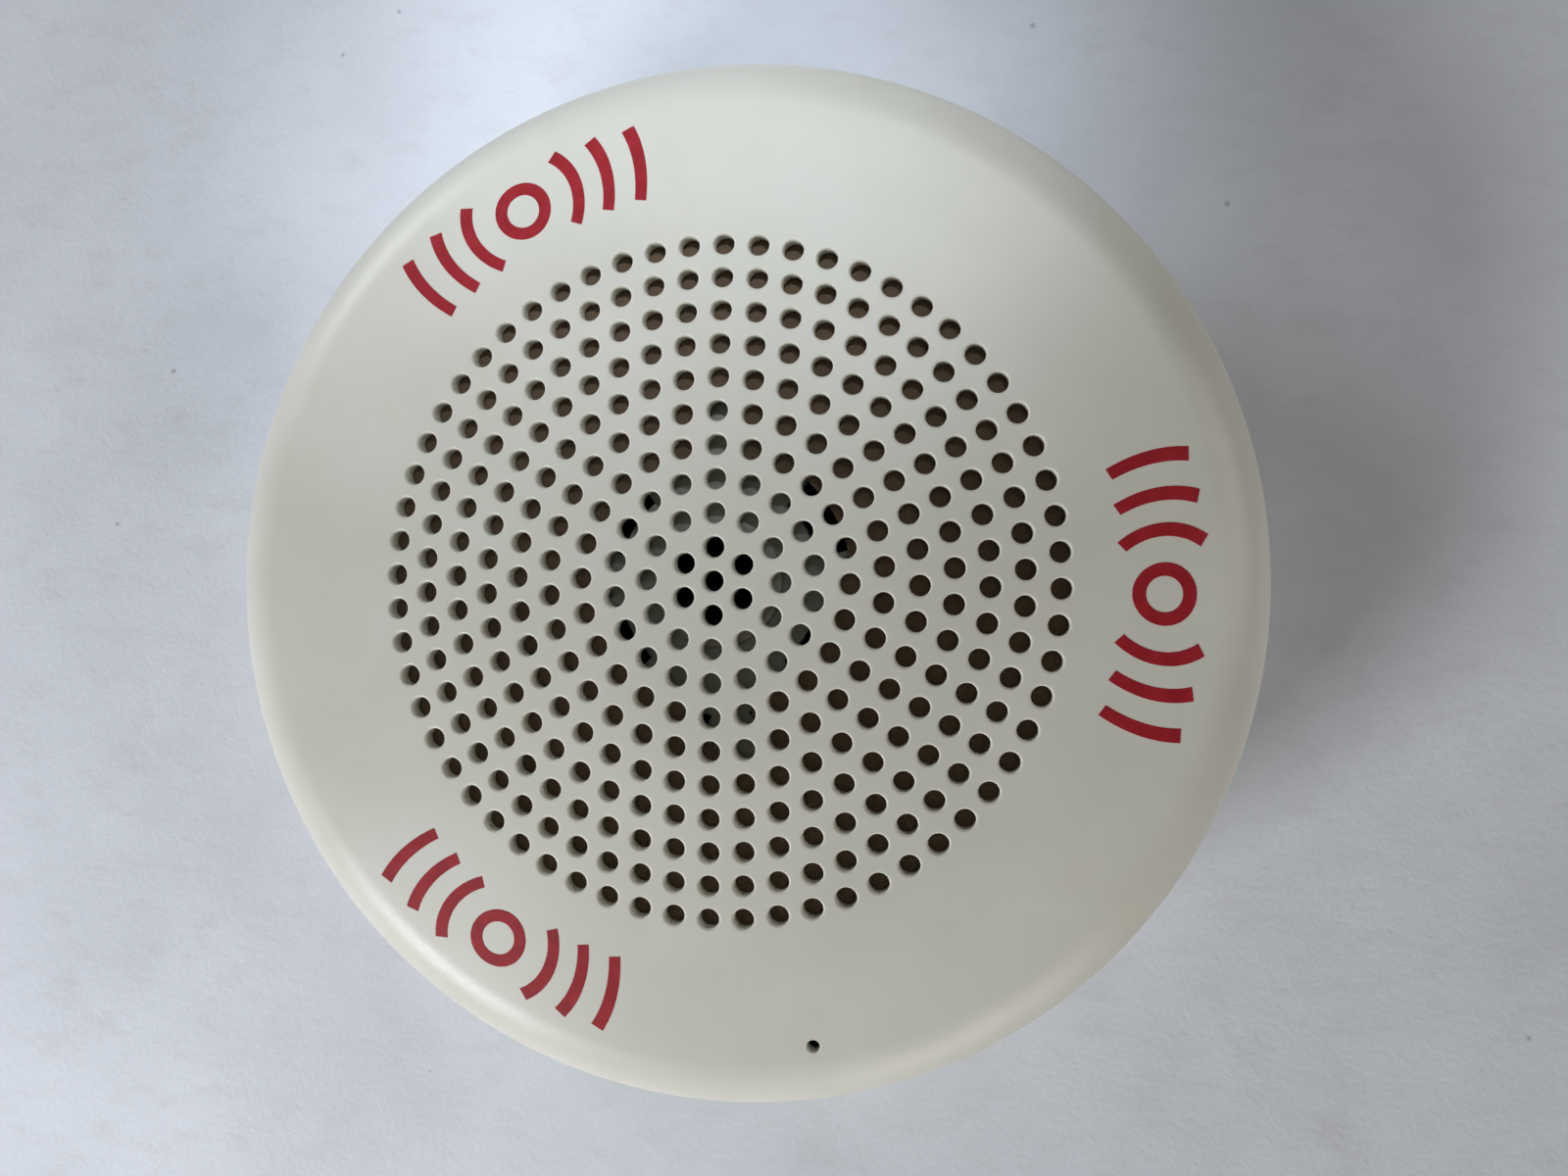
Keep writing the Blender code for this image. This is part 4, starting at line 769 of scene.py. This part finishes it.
def surroundLine():
    size = surroundSize
    line = [(size["lip"], size["top"])]
    for step in range(size["steps"] + 1):
        t = step / size["steps"]
        line.append((size["outer"] + (size["inner"] - size["outer"]) * t,
                     size["top"] - size["drop"] * t + pleat(size["pleat"], size["pleats"], t)))
    return line + [(size["end"], size["top"] - size["drop"])]


def spiderLine():
    size = spiderSize
    line = [(size["outer"], size["low"])]
    for step in range(size["steps"] + 1):
        t = step / size["steps"]
        wave = max(pleat(size["wave"], size["waves"], t), -size["floor"])
        line.append((size["land"] + (size["hub"] - size["land"]) * t,
                     size["low"] + size["rise"] * t ** size["power"] + wave))
    return line


def gasketLine():
    size = gasketSize
    under = [(radius, faceHeight(radius) - backDrop - size["gap"])
             for radius in (size["inner"], size["outer"])]
    return roundCorners(under + [(size["outer"], size["low"]), (size["inner"], size["low"])], size["edge"])


def turnedPiece(name, section, sides, material, node, sharp=60, centre=(0, 0), closed=True):
    bm = bmesh.new()
    lathe(bm, section, sides, centre, closed)
    piece = makePiece(name, bm, material, sharp)
    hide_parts(node)
    return piece


cone = turnedPiece("coneBody", thickLine(coneLine(), coneSize["paper"]), coneSize["sides"],
                   grainFinish(pulpDark), "cone")
cap = turnedPiece("dustCap", thickLine(capLine(), capSize["sheet"]), capSize["sides"],
                  grainFinish(feltBlack), "dust_cap")
gasket = turnedPiece("gasketRing", gasketLine(), gasketSize["sides"],
                     grainFinish(fibreBoard), "gasket")
surround = turnedPiece("surroundRoll", thickLine(surroundLine(), surroundSize["sheet"]),
                       surroundSize["sides"], threadFinish(clothDoped), "surround")
spider = turnedPiece("spiderDisc", thickLine(spiderLine(), spiderSize["sheet"]),
                     spiderSize["sides"], threadFinish(clothPhenolic), "spider")
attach(cone, "moving_cone")
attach(cap, "moving_cone")
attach(gasket, "base")
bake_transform(surround)
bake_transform(spider)
print("driver: cone, cap, surround, spider, gasket")


# base plate with its bayonet rim, lugs, stops, posts and openings

baseSize = {
    "radius": 79.4 * mm, "sheet": 2.5 * mm, "edge": 0.35 * mm, "rimOuter": 76.2 * mm, "rimInner": 74.0 * mm,
    "rimTop": 12.0 * mm, "rimEdge": 0.4 * mm, "slotCircle": 58.7 * mm, "slotWidth": 4.8 * mm,
    "slotLength": 10.0 * mm, "entryX": 37.5 * mm, "entry": 9.0 * mm, "strapHole": 1.4 * mm,
    "lugLow": 7.6 * mm, "lugHigh": 10.6 * mm, "stopTurn": -10.2, "stopSpan": 3.6, "stopHigh": 9.1 * mm,
    "sides": 192, "slotSteps": 14, "entrySides": 64, "holeSides": 20,
}
baseLug = {"span": 24, "inner": 75.1 * mm, "outer": 79.4 * mm}
postSize = {"angles": (40, 130, 220, 310), "circle": 63.5 * mm, "foot": 4.6 * mm, "head": 3.8 * mm,
            "pilot": 1.8 * mm, "flare": 0.9 * mm, "flareTop": 3.4 * mm, "underHead": 3.6 * mm,
            "bevel": 0.3 * mm, "sides": 28}
standoffSize = {"pilot": 1.4 * mm, "head": 2.6 * mm, "foot": 2.8 * mm, "top": 7.7 * mm, "bevel": 0.2 * mm,
                "sides": 20}
absBase = {  # the cover's ABS, less handled, with a matt tool finish
    "name": "absMouldedBase", "ior": 1.53, "specular": 0.4,
    "colours": ["#CFCDC3", "#D5D3CA", "#DAD8D0"], "patchMm": 22, "grainMm": 0.4, "roughness": (0.48, 0.62),
    "depthMm": 0.015,
}


def slotLoop(turn):  # box slot with round ends, clockwise
    half = (baseSize["slotLength"] - baseSize["slotWidth"]) / 2
    end = baseSize["slotWidth"] / 2
    outer = polar(baseSize["slotCircle"] + half, turn)
    inner = polar(baseSize["slotCircle"] - half, turn)
    steps = baseSize["slotSteps"]
    loop = arcLine(end, turn - math.pi / 2, turn + math.pi / 2, steps, outer)
    loop += arcLine(end, turn + math.pi / 2, turn + 3 * math.pi / 2, steps, inner)
    return loop[::-1]


def middleOf(node):
    low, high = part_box(node)
    return (low.x + high.x) / 2, (low.y + high.y) / 2


def buildBase():
    loops = [fullCircle(baseSize["radius"], baseSize["sides"]), slotLoop(math.pi / 2), slotLoop(-math.pi / 2),
             roundHole(baseSize["entry"], baseSize["entrySides"], (baseSize["entryX"], 0))]
    loops += [roundHole(baseSize["strapHole"], baseSize["holeSides"], middleOf("strap_screw_%d" % number))
              for number in (1, 2)]
    bm = bmesh.new()
    softPlate(bm, loops, 0.0, baseSize["sheet"], baseSize["edge"])
    return bm


def baseTools():
    sunk = baseSize["sheet"] / 2
    rim = [(baseSize["rimOuter"], baseSize["rimTop"]), (baseSize["rimOuter"], sunk),
           (baseSize["rimInner"], sunk), (baseSize["rimInner"], baseSize["rimTop"])]
    tools = [latheTool("rimTool", roundCorners(rim, baseSize["rimEdge"]), baseSize["sides"])]
    for middle in lugSize["angles"]:
        tools.append(lugTool("baseLugTool%d" % middle, baseLug, middle,
                             baseSize["lugLow"], baseSize["lugHigh"]))
        tools.append(lugTool("stopTool%d" % middle, {**baseLug, "span": baseSize["stopSpan"]},
                             middle + baseSize["stopTurn"], sunk, baseSize["stopHigh"]))
    size = postSize
    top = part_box("driver_screw_1")[1].z - size["underHead"]
    post = [(size["pilot"], top), (size["head"] - size["bevel"], top), (size["head"], top - size["bevel"]),
            (size["foot"], size["flareTop"]), (size["foot"] + size["flare"], sunk), (size["pilot"], sunk)]
    for angle in size["angles"]:
        place = polar(size["circle"], math.radians(angle))
        tools.append(latheTool("postTool%d" % angle, post, size["sides"], place))
    size = standoffSize
    standoff = [(size["pilot"], size["top"]), (size["head"] - size["bevel"], size["top"]),
                (size["head"], size["top"] - size["bevel"]), (size["foot"], sunk), (size["pilot"], sunk)]
    for number in (1, 2):
        place = middleOf("board_screw_%d" % number)
        tools.append(latheTool("standoffTool%d" % number, standoff, size["sides"], place))
    return tools


base = makePiece("basePlate", buildBase(), grainFinish(absBase))
unite(base, baseTools())
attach(base, "base")
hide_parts("base_plate")
print("base:", len(base.data.polygons), "faces")


# finishes of the pieces inside, by material slot

steelZinc = {  # bright zinc plating on steel: silver with a cool cloudy passivation
    "name": "steelZincPlated", "metallic": 1.0, "colours": ["#A9ACB0", "#B7B9BB", "#C4C4C2"],
    "patchMm": 5, "grainMm": 0.6, "roughness": (0.26, 0.40), "depthMm": 0.006,
}
steelDrawn = {  # drawn steel frame: plated, dulled by the press
    "name": "steelDrawnPlated", "metallic": 1.0, "colours": ["#84878A", "#8F9193", "#9B9C9C"],
    "patchMm": 9, "grainMm": 0.8, "roughness": (0.36, 0.50), "depthMm": 0.01,
}
ferriteGround = {  # sintered ferrite: charcoal, ground flat, with tiny pits
    "name": "ferriteGround", "ior": 2.0, "specular": 0.4,
    "colours": ["#2E2F31", "#363739", "#3E3F41"], "patchMm": 6, "grainMm": 0.4, "roughness": (0.55, 0.75),
    "depthMm": 0.02, "grainTint": 0.5,
}
steelLaminated = {  # stacked silicon steel under varnish: fine dark lines 0.5 mm apart
    "name": "steelLaminated", "metallic": 1.0, "colours": ["#4B4A48", "#6A6966", "#7E7D7A"],
    "patchMm": 6, "axes": "X", "threadMm": 0.5, "wander": 0.2, "roughness": (0.40, 0.55), "depthMm": 0.04,
}
copperEnamelled = {  # magnet wire: close turns of 0.2 mm, drawn at 0.3 mm to show
    "name": "copperEnamelled", "metallic": 1.0, "colours": ["#8A4A25", "#A85F32", "#C07A48"],
    "patchMm": 4, "axes": "Z", "threadMm": 0.3, "wander": 0.2, "roughness": (0.28, 0.40), "depthMm": 0.05,
}
tapeYellow = {  # polyester tape over the winding: glossy yellow, edges of the wraps showing
    "name": "polyesterTapeYellow", "ior": 1.57, "specular": 0.5,
    "colours": ["#C09A2E", "#CDA83A", "#D8B54A"], "patchMm": 8, "axes": "Z", "threadMm": 4.0, "wander": 0.6,
    "roughness": (0.28, 0.40), "depthMm": 0.03,
}
nylonNatural = {  # natural nylon: milky and waxy
    "name": "nylonMoulded", "ior": 1.53, "specular": 0.45,
    "colours": ["#D6D2BF", "#DEDAC8", "#E4E1D1"], "patchMm": 8, "grainMm": 0.5, "roughness": (0.38, 0.5),
    "depthMm": 0.008,
}
paperKraft = {  # kraft paper tube: tan, with the fibre running round
    "name": "paperKraft", "ior": 1.45, "specular": 0.2,
    "colours": ["#9C7B4E", "#AB8958", "#B99765"], "patchMm": 5, "grainMm": 0.5, "roughness": (0.75, 0.9),
    "depthMm": 0.02, "stretch": (1, 1, 4), "grainTint": 0.4,
}
laminateGreen = {  # glass laminate under green solder mask: glossy, the weave just showing
    "name": "laminateSolderMask", "ior": 1.5, "specular": 0.5,
    "colours": ["#1D4B2E", "#245736", "#2B633F"], "patchMm": 7, "axes": "XY", "threadMm": 0.6,
    "roughness": (0.25, 0.36), "depthMm": 0.01,
}
nylonGreen = {  # moulded terminal block: dull green nylon
    "name": "nylonMouldedGreen", "ior": 1.53, "specular": 0.4,
    "colours": ["#2A6145", "#30694C", "#377355"], "patchMm": 6, "grainMm": 0.4, "roughness": (0.42, 0.55),
    "depthMm": 0.01,
}
vinylBlue = {  # shrunk vinyl sleeve: glossy dark blue, pulled tight
    "name": "vinylShrunkBlue", "ior": 1.53, "specular": 0.5,
    "colours": ["#232F58", "#2A3763", "#31406E"], "patchMm": 6, "grainMm": 0.8, "roughness": (0.22, 0.32),
    "depthMm": 0.008, "stretch": (1, 1, 0.3),
}
nylonBlack = {  # glass-filled black nylon: dull, with a faint flow grain
    "name": "nylonGlassFilledBlack", "ior": 1.53, "specular": 0.4,
    "colours": ["#1C1C1D", "#232324", "#2A2A2B"], "patchMm": 5, "grainMm": 0.4, "roughness": (0.42, 0.58),
    "depthMm": 0.012,
}
acetalWhite = {  # white acetal rotor: smooth and waxy
    "name": "acetalMouldedWhite", "ior": 1.48, "specular": 0.45,
    "colours": ["#DCDAD2", "#E2E0D9", "#E7E5DF"], "patchMm": 4, "grainMm": 0.4, "roughness": (0.34, 0.46),
    "depthMm": 0.006,
}
paperPhenolic = {  # paper phenolic strip: brown, with a sawn edge and a dull face
    "name": "paperPhenolic", "ior": 1.55, "specular": 0.4,
    "colours": ["#7A4E2C", "#875932", "#93653C"], "patchMm": 4, "grainMm": 0.4, "roughness": (0.5, 0.65),
    "depthMm": 0.012, "grainTint": 0.4,
}
vinylRed = {  # extruded vinyl insulation: smooth, soft red
    "name": "vinylExtrudedRed", "ior": 1.53, "specular": 0.45,
    "colours": ["#A3262A", "#B02C2F", "#BB3537"], "patchMm": 6, "grainMm": 0.5, "roughness": (0.34, 0.46),
    "depthMm": 0.008,
}
vinylBlack = {  # the same insulation in soft black
    **vinylRed, "name": "vinylExtrudedBlack", "colours": ["#19191A", "#202021", "#282829"],
}
slotSpecs = {
    "basket_steel": steelDrawn, "bright_steel": steelZinc, "ferrite": ferriteGround,
    "lamination_steel": steelLaminated, "copper_wire": copperEnamelled, "winding_tape": tapeYellow,
    "bobbin_nylon": nylonNatural, "former_paper": paperKraft, "board_laminate": laminateGreen,
    "terminal_plastic": nylonGreen, "capacitor_sleeve": vinylBlue, "switch_plastic": nylonBlack,
    "rotor_plastic": acetalWhite, "tag_fibre": paperPhenolic, "wire_red": vinylRed, "wire_black": vinylBlack,
}
slotFinish = {slot: threadFinish(spec) if "axes" in spec else grainFinish(spec)
              for slot, spec in slotSpecs.items()}
ownFinish = {"cover_plastic": cover, "bracket_plastic": bracket, "grille_cloth": cloth, "cone_paper": cone,
             "cap_felt": cap, "gasket_board": gasket, "surround_cloth": surround, "spider_cloth": spider,
             "base_plastic": base}
slotFinish.update({slot: piece.data.materials[0] for slot, piece in ownFinish.items()})
for subpart in frame["record"]["subparts"]:
    node = nodes[subpart["node"]]
    if not node.material_slots:
        node.data.materials.append(None)
    for slot in node.material_slots:
        slot.material = slotFinish[subpart["material_slot"]]
print("finishes:", len(slotFinish))


# screws, capacitor and motor, turned round where the solids have few sides

screwSizes = {
    "driver_screw": {"count": 4, "head": 2.9 * mm, "rise": 2.0 * mm, "shank": 1.4 * mm, "cross": True},
    "strap_screw": {"count": 2, "head": 2.05 * mm, "rise": 1.5 * mm, "shank": 1.0 * mm, "cross": True},
    "board_screw": {"count": 2, "head": 2.05 * mm, "rise": 1.5 * mm, "shank": 1.0 * mm, "cross": True},
    "terminal_screw": {"count": 4, "head": 1.5 * mm, "rise": 1.4 * mm, "shank": 1.0 * mm, "cross": False},
}
screwShape = {  # shares of a head's radius or rise
    "round": 0.45, "slotWide": 0.36, "slotDeep": 0.5, "slotReach": 1.3, "sides": 32,
}
capacitorShape = {"radiusShare": 0.98, "edge": 0.8 * mm, "sides": 48}
motorShape = {"pole": 11.9 * mm, "yokeShare": 0.98, "glue": 0.3 * mm, "edge": 0.4 * mm, "sides": 72}
ringSizes = {
    "magnet": {"name": "magnetRing", "bore": 16.5 * mm, "outerShare": 0.98, "edge": 0.5 * mm,
               "slot": "ferrite", "body": "base"},
    "top_plate": {"name": "topPlate", "bore": 14.5 * mm, "outerShare": 0.98, "edge": 0.2 * mm,
                  "slot": "bright_steel", "body": "base"},
    "voice_coil_former": {"name": "coilFormer", "bore": 12.5 * mm, "outerShare": 1.0, "edge": 0.1 * mm,
                          "slot": "former_paper", "body": "moving_cone"},
    "voice_coil": {"name": "coilWinding", "bore": 13.3 * mm, "outerShare": 1.0, "edge": 0.15 * mm,
                   "slot": "copper_wire", "body": "moving_cone"},
}


def roundTopped(radius, low, high, edge, steps=5):  # half section of a cylinder, its upper edge rounded
    return [(0, high)] + arcLine(edge, math.pi / 2, 0, steps, (radius - edge, high - edge)) + [(radius, low)]


def turnedSolid(name, section, sides, node, slot, body="base", closed=False):
    piece = turnedPiece(name, section, sides, slotFinish[slot], node, 40, middleOf(node), closed)
    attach(piece, body)
    return piece


def slotTool(size, place, top, turn):  # a cross stays within the head, a plain slot runs right across it
    reach = size["head"] * screwShape["slotReach"] * (1 if size["cross"] else 2)
    scale = Matrix.Diagonal((reach, size["head"] * screwShape["slotWide"],
                             2 * size["rise"] * screwShape["slotDeep"], 1))
    stand = Matrix.Translation((*place, top)) @ Matrix.Rotation(turn, 4, "Z")
    bm = bmesh.new()
    bmesh.ops.create_cube(bm, size=1, matrix=stand @ scale)
    return meshFrom("slotTool", bm)


for kind, size in screwSizes.items():
    for number in range(1, size["count"] + 1):
        node = "%s_%d" % (kind, number)
        low, high = (corner.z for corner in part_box(node))
        seat = high - size["rise"]
        section = roundTopped(size["head"], seat, high, size["rise"] * screwShape["round"])
        section += [(size["shank"], seat), (size["shank"], low), (0, low)]
        piece = turnedSolid(kind.replace("_screw", "Screw") + str(number), section, screwShape["sides"],
                            node, "bright_steel")
        turns = (0, math.pi / 2) if size["cross"] else (0,)
        unite(piece, [slotTool(size, middleOf(node), high, turn) for turn in turns], operation="DIFFERENCE")
low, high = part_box("capacitor")
radius = (high.x - low.x) / 2 * capacitorShape["radiusShare"]
turnedSolid("capacitorCan", roundTopped(radius, low.z, high.z, capacitorShape["edge"]) + [(0, low.z)],
            capacitorShape["sides"], "capacitor", "capacitor_sleeve")
for node, size in ringSizes.items():
    low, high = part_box(node)
    outer = (high.x - low.x) / 2 * size["outerShare"]
    section = [(outer, high.z), (outer, low.z), (size["bore"], low.z), (size["bore"], high.z)]
    turnedSolid(size["name"], roundCorners(section, size["edge"]), motorShape["sides"], node, size["slot"],
                size["body"], closed=True)
low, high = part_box("yoke")
outer = (high.x - low.x) / 2 * motorShape["yokeShare"]
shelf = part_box("magnet")[0].z - motorShape["glue"]
section = roundTopped(motorShape["pole"], shelf, high.z, motorShape["edge"])
section += roundTopped(outer, low.z, shelf, motorShape["edge"])[1:] + [(0, low.z)]
turnedSolid("yokePole", section, motorShape["sides"], "yoke", "bright_steel")
print("screws:", sum(size["count"] for size in screwSizes.values()), "and motor rings:", len(ringSizes) + 1)


# table, light and camera

tableSheet = {  # pale pressed sheet: soft fibrous mottle, grey smudges and a little grit
    "name": "sheetPressedPale", "ior": 1.45, "specular": 0.2,
    "colours": ["#D2D5DB", "#D8DBE1", "#DDE0E6"], "patchMm": 45, "grainMm": 1.4, "roughness": (0.7, 0.85),
    "depthMm": 0.12,
    "layers": [
        {"colour": "#C4C5C8", "sizeMm": 5, "range": (0.50, 0.75), "share": 0.35,
         "stretch": (0.5, 1, 1), "turn": 0.3},
        {"colour": "#B4B2B0", "sizeMm": 28, "range": (0.58, 0.80), "share": 0.35},
        {"colour": "#8F8C88", "sizeMm": 6, "rare": 0.93, "dot": (0.05, 0.12), "share": 0.55},
    ],
}
tableSize = {"half": 2.0, "cells": 8, "drop": 0.3 * mm}
backdrop = {"colour": "#DFE1E5", "from": 0.20, "to": 0.48}  # the table fades into a plain pale backdrop
bm = bmesh.new()
bmesh.ops.create_grid(bm, x_segments=tableSize["cells"], y_segments=tableSize["cells"],
                      size=tableSize["half"])
tableTop = meshFrom("tableTop", bm)
tableTop.location.z = -tableSize["drop"]


def seenRays(tree):  # what the camera sees, also in gloss and through glass
    rays = addNode(tree, "ShaderNodeLightPath").outputs
    seen = addNode(tree, "ShaderNodeMath", {"operation": "ADD"},
                   {0: rays["Is Camera Ray"], 1: rays["Is Glossy Ray"]}).outputs["Value"]
    return addNode(tree, "ShaderNodeMath", {"operation": "ADD", "use_clamp": True},
                   {0: seen, 1: rays["Is Transmission Ray"]}).outputs["Value"]


tableFinish = dottedFinish(tableSheet)
tree = tableFinish.node_tree
place = addNode(tree, "ShaderNodeTexCoord").outputs["Object"]
away = addNode(tree, "ShaderNodeVectorMath", {"operation": "LENGTH"}, {0: place}).outputs["Value"]
fade = addNode(tree, "ShaderNodeMapRange",
               {"interpolation_type": "SMOOTHSTEP", "From Min": backdrop["from"], "From Max": backdrop["to"]},
               {"Value": away}).outputs["Result"]
fade = addNode(tree, "ShaderNodeMath", {"operation": "MULTIPLY"},
               {0: fade, 1: seenRays(tree)}).outputs["Value"]
plain = addNode(tree, "ShaderNodeEmission", {"Color": hexColour(backdrop["colour"])}).outputs["Emission"]
faded = addNode(tree, "ShaderNodeMixShader", None,
                {0: fade, 1: tree.nodes["Principled BSDF"].outputs["BSDF"], 2: plain}).outputs["Shader"]
tree.links.new(faded, tree.nodes["Material Output"].inputs["Surface"])
tableTop.data.materials.append(tableFinish)

boxAim = (0, 0, 40 * mm)
lightSpecs = [  # low soft boxes all round and a steep soft spot on the far edge
    {"name": "farSpot", "at": (0.09, 0.26, 0.60), "aim": (-0.012, 0.102, 0.045), "size": 0.04, "watts": 10.0,
     "colour": "#E8F2FF", "cone": 17.0, "blend": 0.7},
    {"name": "farBox", "at": (-0.44, 0.32, 0.27), "size": 0.20, "watts": 1.1, "colour": "#F2F7FF"},
    {"name": "nearBox", "at": (-0.36, -0.38, 0.33), "size": 0.20, "watts": 2.6, "colour": "#F7FAFF"},
    {"name": "rightBox", "at": (0.40, 0.10, 0.22), "size": 0.20, "watts": 0.4, "colour": "#FFFCF8"},
    {"name": "lowBox", "at": (0.18, -0.43, 0.16), "size": 0.26, "watts": 0.5, "colour": "#FFFCF8"},
]
for spec in lightSpecs:
    lamp = bpy.data.lights.new(spec["name"], "SPOT" if "cone" in spec else "AREA")
    if "cone" in spec:
        lamp.shadow_soft_size = spec["size"]
        lamp.spot_size = math.radians(spec["cone"])
        lamp.spot_blend = spec["blend"]
    else:
        lamp.size = spec["size"]
    lamp.energy = spec["watts"]
    lamp.color = hexColour(spec["colour"])[:3]
    holder = bpy.data.objects.new(spec["name"], lamp)
    holder.location = spec["at"]
    aim = Vector(spec.get("aim", boxAim)) - Vector(spec["at"])
    holder.rotation_euler = aim.to_track_quat("-Z", "Y").to_euler()
    scene.collection.objects.link(holder)

roomLight = {"colour": "#FFFAF4", "strength": 0.3, "fadesAt": 0.45}  # a glow round the horizon, dark overhead
world = scene.world or bpy.data.worlds.new("roomLight")
scene.world = world
world.use_nodes = True
tree = world.node_tree
sky = tree.nodes["Background"]
sky.inputs["Color"].default_value = hexColour(roomLight["colour"])
way = addNode(tree, "ShaderNodeTexCoord").outputs["Generated"]
rise = addNode(tree, "ShaderNodeSeparateXYZ", None, {"Vector": way}).outputs["Z"]
glow = addNode(tree, "ShaderNodeMapRange",
               {"From Max": roomLight["fadesAt"], "To Min": roomLight["strength"], "To Max": 0.0},
               {"Value": rise}).outputs["Result"]
tree.links.new(glow, sky.inputs["Strength"])
plain = addNode(tree, "ShaderNodeBackground", {"Color": hexColour(backdrop["colour"])}).outputs["Background"]
faded = addNode(tree, "ShaderNodeMixShader", None,
                {0: seenRays(tree), 1: sky.outputs["Background"], 2: plain}).outputs["Shader"]
tree.links.new(faded, tree.nodes["World Output"].inputs["Surface"])

cameraSpec = {
    "at": (34.36 * mm, -1.38 * mm, 220.19 * mm), "right": (0.99, 0.0226, -0.1393),
    "up": (-0.0219, 0.9997, 0.0065), "back": (0.1394, -0.0033, 0.9902),
    "lens": 26.55, "sensor": 36, "nearest": 10 * mm,
}
lens = bpy.data.cameras.new("photoCamera")
lens.sensor_fit = "HORIZONTAL"
lens.sensor_width = cameraSpec["sensor"]
lens.lens = cameraSpec["lens"]
lens.clip_start = cameraSpec["nearest"]
camera = bpy.data.objects.new("photoCamera", lens)
axes = Matrix((cameraSpec["right"], cameraSpec["up"], cameraSpec["back"])).transposed()
camera.matrix_world = Matrix.Translation(cameraSpec["at"]) @ axes.to_quaternion().to_matrix().to_4x4()
scene.collection.objects.link(camera)
scene.camera = camera
print("table, light and camera set")
